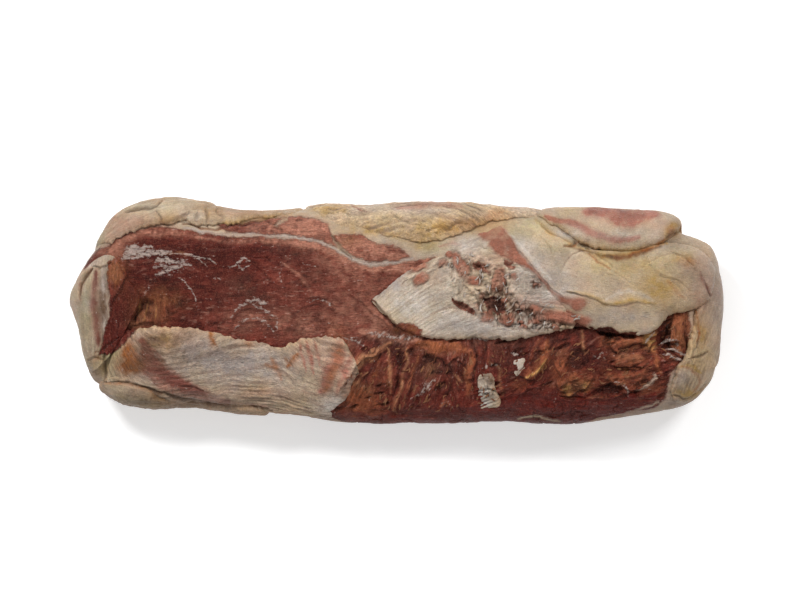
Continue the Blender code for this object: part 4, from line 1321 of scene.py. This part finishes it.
def face(x, turn):
    """The slab's own surface at places along it and angles around it: how far it is lifted in mm, with
    the muscles' lumps and fibres as relief, its marks, and its grain."""
    upward = np.sin(turn)
    bare = slab_point(x, turn)
    y, z = bare[..., 1], bare[..., 2]
    seen_x, seen_y = as_seen(x, y, 3)
    depth = {name: inside(seen_x, seen_y, outline) for name, outline in LEAN_ON_SLAB.items()}
    lean_top = np.max(list(depth.values()), axis=0)
    for half_width, *path in FAT_STREAKS:
        distance, share, _ = near_path(seen_x, seen_y, path, 12)
        lean_top = np.minimum(lean_top, distance - half_width * (0.4 + 0.6 * np.sin(np.pi * share) ** 0.4))
    # between these two places along the near side the lean comes down over the shoulder
    over_shoulder = 0.7 * eased(x, -52, -36) * (1 - eased(x, 130, 168)) * (y < -40)
    on_top = eased(upward, 0.15 - over_shoulder, 0.4 - over_shoulder)
    torn = eased(depth["lower_lean"], -1, 4) * on_top
    torn = torn * eased(seen_y - np.interp(x, (-40, 60, 110, 230), (-90, -86, -75, -78)), 0, 10)
    torn = np.maximum(torn, eased(inside(seen_x, seen_y, TORN_CORNER), -2, 3))
    smooth = eased(np.maximum(depth["lean_face"], depth["lower_lean"]), -1, 4) * on_top * (1 - torn)
    skin = unrolled(x, y, z)
    relief = 0.6 * unevenness(*skin, 30, 21) + 0.35 * unevenness(*skin, 9, 22)
    relief += smooth * (0.45 * fibres(x, y, 3, 24, 3.6, 31) + 0.4 * unevenness(x, y, 6, 32))
    cracks = eased(-np.abs(unevenness(x, y, 17, 33)), -0.05, 0.0) * eased(unevenness(x, y, 30, 34), 0.1, 0.5)
    relief += torn * torn_relief(x, y) - 0.7 * smooth * cracks
    pits = torn * eased(fibres(x, y, 20, 12, 5, 47), 0.45, 1.0)
    drawn_relief, shade, _ = drawn(seen_x, seen_y, upward)
    film = strongest(seen_x, seen_y, FILM_STREAKS) * eased(upward, 0.05, 0.35)
    relief += 0.3 * film - 1.8 * pits + drawn_relief
    # painted shade for the colours: the creases, the pits of the torn lean and the cracks of the smooth lean
    crease = np.maximum(shade, np.maximum(0.6 * pits, 0.45 * smooth * cracks))
    along, across = turned(*skin, np.where(torn > 0.5, run_here(x, y), 3))
    blush = 0.4 * eased(lean_top, -4, 0.5)
    marks = {
        "lean": lean_top * on_top + lean_layers(x, z) * (1 - on_top),
        "film": film,
        "lined": np.full(x.shape, 0.3),
        "fat_colour": fat_colours(seen_x, seen_y, skin, upward, relief, crease, 0.0, 0 * x, blush),
        "lean_colour": lean_colours(seen_x, seen_y, skin, along, across, relief, crease, torn),
    }
    lift = (broad_swelling(x, turn) + relief) * eased(LENGTH / 2 - np.abs(x), 0.5, 5)
    return lift, marks, np.stack([along, across], axis=-1)


def within_area(area, x, turn):
    """How far each place lies inside a finer part of the slab's face, in mm."""
    (left, right), angles = area
    first, last = np.radians(angles)
    return np.minimum(np.minimum(x - left, right - x), RADIAN_IN_MM * np.minimum(turn - first, last - turn))


def pressed_flat(rings):
    """The rings with everything below the rest cut pressed up to it, and the cut put at height 0."""
    rings[..., 2] = np.maximum(rings[..., 2], REST_CUT) - REST_CUT
    return rings


def slab():
    """The slab itself: rounded sections along x, closer together at the blunt ends, and the underside
    pressed flat. It gives way a little under the finer parts of its face."""
    stations, over_top, underneath = SLAB_MESH
    even = np.linspace(-1, 1, stations + 2)[1:-1]
    x = LENGTH / 2 * even * (1 + (1 - np.abs(even) ** 12) / 12)
    x, turn = np.meshgrid(x, girth_turns(over_top, underneath), indexing="ij")
    lift, marks, grain = face(x, turn)
    for area in FINE_AREAS.values():
        lift = np.minimum(lift, lift - GIVES_WAY * eased(within_area(area, x, turn), 2.5, 6))
    return closed_mesh("slab", pressed_flat(lifted(x, turn, lift))[None], marks, grain)


def fine_face(name):
    """A finer part of the slab's face: the same surface on a closer grid, sunk into the slab all round
    its border, and closed by an inner side 5 mm below it."""
    (left, right), angles = FINE_AREAS[name]
    first, last = np.radians(angles)
    turn = np.linspace(first, last, 2001)
    section = slab_point(np.full(turn.shape, (left + right) / 2), turn)
    reached = np.concatenate([[0], np.cumsum(np.linalg.norm(np.diff(section, axis=0), axis=1))])
    over, under = int(reached[-1] / FINE_SPACING), 8
    outside = np.interp(np.linspace(0, reached[-1], over), reached, turn)
    turn = np.concatenate([outside, np.linspace(last, first, under + 2)[1:-1]])
    x, turn = np.meshgrid(np.linspace(left, right, int((right - left) / FINE_SPACING)), turn, indexing="ij")
    lift, marks, grain = face(x, turn)
    within = within_area(FINE_AREAS[name], x, turn)
    lift = lift - GIVES_WAY * (1 - eased(within, 0, 3))
    lift[:, over:] -= 3 * eased(within[:, over:], 0, 6)
    return closed_mesh(name, pressed_flat(lifted(x, turn, lift))[None], marks, grain)


def quarter_round(distance, radius):
    """The rise of a quarter circle: 0 at distance 0, and 1 from the radius on."""
    return np.sqrt(np.maximum(1 - (1 - np.minimum(distance / radius, 1)) ** 2, 0))


def fold_section(name, height, from_lip, back):
    """The section of a fold, in mm off the slab: its crown, which sinks slowly towards the root; its
    upper side, which drops from the crown to the lip as a quarter circle does; and its lower side, which
    goes from the lip into the slab in the same way."""
    rounding = np.maximum(0.9 * np.maximum(height, 1.0), SOFT_LIPS.get(name, 0.0))
    lip = (0.12 if name in SOFT_LIPS else 0.3) * height
    crown = height * (1 - 0.9 * back**3)
    upper = lip + (crown - lip) * quarter_round(from_lip, rounding)
    return crown, upper, lip - (lip + FOLD_ROOT) * quarter_round(from_lip, 0.6 * rounding)


def lined_fat(skin, along, across, lined, seed):
    """Fat's own lumps, and the fine lines where it was drawn or cut: waves that wander and come and go,
    and fibres of two sizes. Handed back are the waves and the relief of all of it in mm."""
    wavy = np.sin(2 * np.pi * across / LINE_PITCH + 3 * unevenness(along, across, 26, seed + 10))
    wavy = wavy * eased(unevenness(*skin, 16, seed + 14), -0.25, 0.45)
    relief = 0.9 * unevenness(*skin, 19, seed + 3) + 0.32 * unevenness(*skin, 7, seed + 4)
    relief += 0.7 * lined * wavy
    fine = fibres(along, across, 0, 26, 3.0, seed + 5) + 0.8 * fibres(along, across, 0, 14, 1.8, seed + 6)
    return wavy, relief + lined * fine


def torn_fat(relief, seen, skin, ragged, seed):
    """Adds to the relief of fat: crags with sharp cracks between them, islands of lean with a furrow
    round each, muscle that swells the fat over it, and crust in chips with gaps between them. Handed back
    are the new relief in mm, the shade of its creases, and the blush of the lean."""
    muscle = deepest(*seen, MUSCLE_IN_FAT)
    lumps = np.max([island(*ragged, *one) for one in LEAN_ISLANDS], axis=0)
    crags = np.minimum(bells(*seen, CRAGGY_FAT), 1)
    torn = 2.6 * np.abs(unevenness(*skin, 8, seed + 7)) + 2.0 * np.abs(unevenness(*skin, 3.5, seed + 8)) - 1.5
    torn = torn - 1.2 * eased(-np.abs(unevenness(*skin, 6, seed + 13)), -0.09, 0)
    ring = np.exp(-((lumps / 0.9) ** 2))
    broken = eased(bells(*seen, CHIPPED_FAT), 0.3, 0.7)
    chip, border = chips(*ragged, CHIP_SIZE, seed + 20)
    gap = broken * (1 - eased(border, 0.1, 0.7))
    rough = crags * torn + 1.2 * eased(lumps, 0, 2.5) - 0.8 * ring + broken * 1.2 * chip - 1.4 * gap
    relief = relief + rough + 0.8 * eased(muscle, -1, 3)
    # painted shade: cracks between crags, a furrow round each island, gaps between chips, and whole chips
    # darkened at random
    crease = np.maximum(0.6 * crags * eased(-torn, 0.8, 1.5), 0.25 * ring)
    crease = np.maximum(crease, np.maximum(0.9 * gap, 0.9 * broken * eased(-chip, 0.55, 0.75)))
    blush = np.maximum(0.95 * eased(muscle, -2, 2.5), 0.9 * eased(lumps, -0.8, 1.6))
    blush = np.maximum(blush, 0.9 * broken * eased(chip, 0.1, 0.3) * (1 - eased(chip, 0.6, 0.8)))
    return relief, crease, blush


def fold(name, seed):
    """A sheet of fat draped over the slab. Its section leaves the root, sunk in the slab, runs out over
    the top to a lip rounded as a quarter ellipse, turns under it and goes back inside the slab."""
    root, lip, proud, ragged, lines, lined = FOLDS[name]
    length = np.linalg.norm(np.diff(np.array(lip, float), axis=0), axis=1).sum()
    places = np.linspace(0, 1, 9)
    span = np.hypot(*np.subtract(curve_at(root, places), curve_at(lip, places))).max()
    stations, over_top, underneath = int(length / FOLD_SPACING) + 20, int(span / FOLD_SPACING) + 16, 12
    from_pole = np.linspace(0, np.pi, stations + 2)[1:-1]
    share = 0.35 * (1 - np.cos(from_pole)) / 2 + 0.65 * from_pole / np.pi
    root_x, root_y = curve_at(root, share)
    lip_x, lip_y = drawn_in(*curve_at(lip, share))
    width = np.hypot(lip_x - root_x, lip_y - root_y)
    frayed = ragged * (unevenness(lip_x, lip_y, 6, seed) + 0.6 * unevenness(lip_x, lip_y, 2.4, seed + 1))
    from_end = np.minimum(share, 1 - share) * length
    blunt = 0.3 + 0.7 * quarter_round(from_end, min(2 * END_ROUNDING, 0.25 * length))
    rounded = quarter_round(from_end, min(END_ROUNDING, 0.25 * length))
    height = smooth_through(np.linspace(0, 1, len(proud)), proud, share) * rounded
    # how far along the section from the lip, 0 to 1, out over the top and back underneath
    over = (np.arange(over_top) / (over_top - 1)) ** 1.25
    under = (np.arange(underneath, 0, -1) / (underneath + 1)) ** 1.6
    back = np.concatenate([over, under])[None]
    top = np.concatenate([np.ones(over_top), np.zeros(underneath)])[None]
    reach = 1 - back
    reach = 0.5 + (reach - 0.5) * blunt[:, None] + (frayed / width)[:, None] * reach**2
    strayed = TORN_ROOTS.get(name, 0.0) * unevenness(root_x, root_y, 5, seed + 15)
    reach = reach + (strayed / (width + 8))[:, None] * (1 - reach) ** 3
    x = root_x[:, None] + (lip_x - root_x)[:, None] * reach
    if name in TORN_ENDS:
        steps = np.interp(reach, *zip(*TORN_ENDS[name]))
        steps = steps + 1.2 * unevenness(40 * reach, 0 * reach, 2.2, seed + 9)
        x = x + steps * eased(share, 0.75, 1)[:, None]
    root_turn, lip_turn = turn_at(root_x, root_y), turn_at(lip_x, lip_y)
    turn = root_turn[:, None] + (lip_turn - root_turn)[:, None] * reach
    upward = np.sin(turn)
    from_lip = back * width[:, None]
    crown, upper, lower = fold_section(name, height[:, None], from_lip, back)
    place = lifted(x, turn, upper)
    along, across = np.broadcast_to((share * length)[:, None], x.shape), width[:, None] * reach
    flat_x, y = place[..., 0], place[..., 1]
    seen_x, seen_y = as_seen(flat_x, y, seed + 2)
    skin = unrolled(flat_x, y, place[..., 2])
    if lines is not None:
        degrees, bend = lines
        along, across = turned(*skin, degrees)
        across = across + bend * flat_x**2
    wavy, relief = lined_fat(skin, along, across, lined, seed)
    ragged_place = as_seen(flat_x, y, seed + 12, 1.8)
    relief, crease, blush = torn_fat(relief, (seen_x, seen_y), skin, ragged_place, seed)
    drawn_relief, shade, hollow = drawn(seen_x, seen_y, upward)
    relief = (relief + drawn_relief) * np.minimum(1, from_lip / 3 + 0.3)
    crease = np.maximum(shade, crease)
    upper = upper + relief * rounded[:, None]
    upper -= (FOLD_ROOT + crown) * eased(back, 0.93, 1.0) + FOLD_ROOT * (1 - rounded[:, None]) ** 2
    rings = lifted(x, turn, upper * top + lower * (1 - top))
    rings[..., 2] = np.maximum(rings[..., 2] - REST_CUT, 1.0)
    fine_lines = min(1.0, 2.4 * lined) * (0.7 * wavy + fibres(along, across, 0, 22, 1.5, seed + 11, 1))
    # painted warm shade along the lip, so that the shadow under it looks golden
    golden = 0.25 * np.exp(-from_lip / 2)
    relief, crease = relief * top, crease * top
    marks = {
        "lean": np.maximum(deepest(seen_x, seen_y, LEAN_IN_FOLDS), 2 * hollow - 2),
        "film": np.zeros(x.shape),
        "lined": np.full(x.shape, min(1.0, 2.2 * lined)),
        "fat_colour": fat_colours(seen_x, seen_y, skin, upward, relief, crease, fine_lines, golden, blush),
        "lean_colour": lean_colours(seen_x, seen_y, skin, along, across, relief + 1, crease, 0.0),
    }
    grain = np.stack([along, across], axis=-1)
    return closed_mesh(name, rings[None], marks, grain)


def on_lattice(x, y):
    """Which place of the lattice of heights each place in mm is nearest to."""
    return tuple(
        np.rint(value / LATTICE_STEP).astype(int) + size // 2 for value, size in zip((x, y), LATTICE)
    )


def top_of(pieces):
    """The height of the meat's upper face on the lattice: that of the highest corner of any mesh there."""
    heights = np.zeros(LATTICE)
    for piece in pieces:
        points = np.empty(len(piece.data.vertices) * 3)
        piece.data.vertices.foreach_get("co", points)
        x, y, z = points.reshape(-1, 3).T / MM
        np.maximum.at(heights, on_lattice(x, y), z)
    return heights


def shreds(name, heights, count, outline, on_lean, colour, seed):
    """Small torn shreds lying on the meat: tapered, flattened threads along the run of the fibres, each
    bent a little and its ends on the surface. They are drawn in the outline's box and kept inside it."""
    draw = np.random.default_rng(seed)
    middle = draw.uniform(np.min(outline, axis=0), np.max(outline, axis=0), (count, 2))
    middle = middle[inside(*middle.T, outline) > 1]
    count = len(middle)
    run = np.radians(run_here(*middle.T) + draw.normal(0, 24, count))
    long, thick = draw.uniform(1.0, 3.6, count), draw.uniform(0.2, 0.5, count)
    bend = draw.normal(0, 0.3, count)
    along = np.linspace(-1, 1, 13)[None]
    c, s = np.cos(run)[:, None], np.sin(run)[:, None]
    forth, aside = long[:, None] * along, (bend * long)[:, None] * (1 - along**2)
    x, y = middle[:, :1] + forth * c - aside * s, middle[:, 1:] + forth * s + aside * c
    z = heights[on_lattice(x, y)]
    z = 0.5 * z + 0.25 * (np.roll(z, 1, axis=1) + np.roll(z, -1, axis=1))
    z[:, 0], z[:, -1] = z[:, 1] - 0.6, z[:, -2] - 0.6
    radius = thick[:, None] * np.sqrt(1.04 - along**2)
    angle = np.linspace(0, 2 * np.pi, 7)[:-1]
    side, up = radius[..., None] * 1.5 * np.cos(angle), radius[..., None] * np.sin(angle)
    rings = np.stack(
        [x[..., None] - side * s[..., None], y[..., None] + side * c[..., None], z[..., None] + up], axis=-1
    )
    flat = np.zeros(side.shape)
    pale = np.broadcast_to(draw.uniform(0, 1, count)[:, None, None], flat.shape)
    tones = laid_over(np.broadcast_to(linear(colour[0]), (*flat.shape, 3)), colour[1], pale)
    marks = {
        "lean": flat + (4 if on_lean else -4),
        "film": flat,
        "lined": flat,
        "fat_colour": tones,
        "lean_colour": tones,
    }
    grain = np.stack([np.broadcast_to(forth[..., None], flat.shape), side], axis=-1)
    return closed_mesh(name, rings, marks, grain)


def add(tree, kind, sockets=(), **settings):
    """Adds a shader node of a kind to a material: its settings, and for its sockets, by name or place,
    either a value or the output that feeds them. Its first output in use is handed back."""
    made = tree.nodes.new("ShaderNode" + kind)
    for key, value in settings.items():
        setattr(made, key, value)
    for key, value in dict(sockets).items():
        if isinstance(value, bpy.types.NodeSocket):
            tree.links.new(value, made.inputs[key])
        else:
            made.inputs[key].default_value = value
    return next(output for output in made.outputs if output.enabled)


def new_material(name, values):
    """A new material whose surface has some of its values set, and that surface."""
    material = bpy.data.materials.new(name)
    material.use_nodes = True
    surface = material.node_tree.nodes["Principled BSDF"]
    for key, value in values.items():
        surface.inputs[key].default_value = value
    return material, surface


def cured_pork():
    """Dry-cured, cold-smoked pork. The lean is dark wine red where it is damp and rosier where it is drier,
    drawn along its fibres and flecked with paler crumbs, which are painted glints; the fat is cream, cooler
    or golden by its place; silverskin lies on the lean as a torn grey-white film. All of it has the
    half-dull shine of a damp, slightly greasy skin."""
    values = {
        "IOR": 1.40,
        "Specular IOR Level": 0.22,
        "Subsurface Weight": 0.1,
        "Subsurface Radius": (0.004, 0.0014, 0.0008),
        "Subsurface Scale": 1.0,
    }
    material, surface = new_material("cured_pork", values)
    tree = material.node_tree
    lean, fat, depth, film, lined = (
        add(tree, "Attribute", attribute_name=name)
        for name in ("lean_colour", "fat_colour", "lean", "film", "lined")
    )
    grain = add(tree, "UVMap", uv_map="grain")
    place = add(tree, "TexCoord").node.outputs["Object"]

    # bundles of fibres about 1.5 mm across and 6 mm long, threads half a millimetre across, and specks
    coarse = add(tree, "Mapping", {"Vector": grain, "Scale": (0.16, 0.7, 1)})
    bundles = add(tree, "TexNoise", {"Vector": coarse, "Scale": 1.0, "Detail": 3.0, "Distortion": 1.0})
    fine = add(tree, "Mapping", {"Vector": grain, "Scale": (0.3, 1.6, 1)})
    threads = add(tree, "TexNoise", {"Vector": fine, "Scale": 1.0, "Detail": 2.0, "Distortion": 1.2})
    specks = add(tree, "TexNoise", {"Vector": place, "Scale": 420.0, "Detail": 4.0, "Roughness": 0.6})
    patches = add(tree, "TexNoise", {"Vector": place, "Scale": 80.0, "Detail": 3.0})
    crumbs = add(tree, "TexNoise", {"Vector": place, "Scale": 1000.0, "Detail": 1.0, "Roughness": 0.5})

    # the lean's edge, frayed along the fibres
    frayed = -3.3
    for texture, share in ((specks, 3.4), (bundles, 3.2)):
        frayed = add(tree, "Math", {0: texture, 1: share, 2: frayed}, operation="MULTIPLY_ADD")
    edge = add(tree, "Math", {0: depth, 1: frayed}, operation="ADD")
    is_lean = add(tree, "MapRange", {0: edge, 1: -1.0, 2: 1.0}, interpolation_type="SMOOTHSTEP")

    # the lean streaked along its fibres, and the fat lined where it was drawn or cut
    streaky = -0.9
    for texture, share in ((bundles, 1.2), (threads, 1.2), (specks, 0.8), (crumbs, 0.6)):
        streaky = add(tree, "Math", {0: texture, 1: share, 2: streaky}, operation="MULTIPLY_ADD")
    lean = add(tree, "Mix", {0: 1.0, 6: lean, 7: streaky}, data_type="RGBA", blend_type="MULTIPLY")
    # painted glints: paler crumbs laid into the lean's colour stand in for the small highlights of its damp
    # skin
    pale = add(tree, "MapRange", {0: crumbs, 1: 0.45, 2: 0.8, 4: 0.3}, interpolation_type="SMOOTHSTEP")
    lean = add(tree, "Mix", {0: pale, 6: lean, 7: (*linear("#a0624e"), 1)}, data_type="RGBA")
    lines = add(tree, "Math", {0: threads, 1: 1.3, 2: -0.65}, operation="MULTIPLY_ADD")
    lines = add(tree, "Math", {0: lines, 1: lined, 2: 0.57}, operation="MULTIPLY_ADD")
    lines = add(tree, "Math", {0: crumbs, 1: 0.5, 2: lines}, operation="MULTIPLY_ADD")
    fat = add(tree, "Mix", {0: 1.0, 6: fat, 7: lines}, data_type="RGBA", blend_type="MULTIPLY")
    flesh = add(tree, "Mix", {0: is_lean, 6: fat, 7: lean}, data_type="RGBA")

    # the film, torn into holes and threads
    torn = -2.75
    for texture, share in ((specks, 2.6), (bundles, 2.2), (film, 1.5)):
        torn = add(tree, "Math", {0: texture, 1: share, 2: torn}, operation="MULTIPLY_ADD")
    film = add(tree, "MapRange", {0: torn, 1: 0.1, 2: 0.8, 4: 0.8}, interpolation_type="SMOOTHSTEP")
    white = (*linear("#b3a298"), 1)
    white = add(tree, "Mix", {0: 1.0, 6: white, 7: streaky}, data_type="RGBA", blend_type="MULTIPLY")
    flesh = add(tree, "Mix", {0: film, 6: flesh, 7: white}, data_type="RGBA")
    tree.links.new(flesh, surface.inputs["Base Color"])

    # relief too fine for the mesh: fibres, the edge of the film and, weaker, the pores of the fat
    raised = add(tree, "Math", {0: bundles, 1: threads}, operation="ADD")
    for texture, share in ((film, 0.4), (specks, 0.8), (crumbs, 0.5)):
        raised = add(tree, "Math", {0: texture, 1: share, 2: raised}, operation="MULTIPLY_ADD")
    firm = add(tree, "MapRange", {0: is_lean, 3: 0.45, 4: 1.0})
    raised = add(tree, "Math", {0: raised, 1: firm}, operation="MULTIPLY")
    bump = add(tree, "Bump", {"Strength": 1.0, "Distance": 0.0015, "Height": raised})
    tree.links.new(bump, surface.inputs["Normal"])
    shine = add(tree, "MapRange", {0: patches, 1: 0.3, 2: 0.7, 3: 0.28, 4: 0.55})
    tree.links.new(shine, surface.inputs["Roughness"])
    return material


def pale_floor():
    """A plain white sheet, wide enough to fill every view."""
    mesh = bpy.data.meshes.new("floor")
    side = 6.0
    corners = [(-side, -side, 0), (side, -side, 0), (side, side, 0), (-side, side, 0)]
    mesh.from_pydata(corners, [], [(0, 1, 2, 3)])
    values = {
        "Base Color": (0.8, 0.8, 0.8, 1),
        "Roughness": 0.9,
        "Emission Color": (1, 1, 1, 1),
        "Emission Strength": 0.4,
    }
    material, _ = new_material("white_sheet", values)
    mesh.materials.append(material)
    put_in_scene("floor", mesh)


def soft_light(name, place, size, power):
    """A square soft lamp at a place, turned towards the slab."""
    lamp = bpy.data.lights.new(name, "AREA")
    lamp.size, lamp.energy = size, power
    made = put_in_scene(name, lamp)
    made.location = place
    made.rotation_euler = (-Vector(place)).to_track_quat("-Z", "Y").to_euler()


def studio():
    """Weak white light from all round, two large soft lamps behind and a weaker one in front."""
    world = bpy.data.worlds.new("studio")
    bpy.context.scene.world = world
    world.use_nodes = True
    sky = world.node_tree.nodes["Background"]
    sky.inputs[0].default_value = (1, 1, 1, 1)
    sky.inputs[1].default_value = 0.30
    soft_light("lamp_back_left", (-1.1, 1.3, 1.5), 0.5, 38)
    soft_light("lamp_back_right", (1.2, 1.1, 1.5), 0.6, 24)
    soft_light("lamp_front", (-0.3, -1.5, 1.3), 1.2, 8)


def eye():
    """The camera: straight above, as far off as its long lens needs for the wanted width of the frame."""
    camera = bpy.data.cameras.new("eye")
    camera.lens, camera.sensor_width, camera.clip_end = LENS, SENSOR, 100
    made = put_in_scene("eye", camera)
    height = OUTLINE_HEIGHT + VIEW_WIDTH * LENS / SENSOR
    made.location = (VIEW_CENTRE[0] * MM, VIEW_CENTRE[1] * MM, height * MM)
    bpy.context.scene.camera = made


def main():
    """Builds the meat, gives it its material and body, and sets up the floor, the lamps and the eye."""
    pork = cured_pork()
    whole = slab()
    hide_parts(NODE)
    pieces = [whole] + [fine_face(name) for name in FINE_AREAS]
    pieces += [fold(name, seed=100 + 10 * i) for i, name in enumerate(FOLDS)]
    heights = top_of(pieces)
    pieces.append(shreds("shreds_of_lean", heights, 420, TORN_LEAN, True, ("#5a2a20", "#9c6a4a"), seed=7))
    pieces.append(shreds("shreds_of_fat", heights, 150, TORN_FAT, False, ("#a08d80", "#cfc4ba"), seed=8))
    for piece in pieces:
        piece.data.materials.append(pork)
        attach(piece, BODY)
    pale_floor()
    studio()
    eye()
    bpy.context.scene.view_settings.view_transform = "Standard"


main()
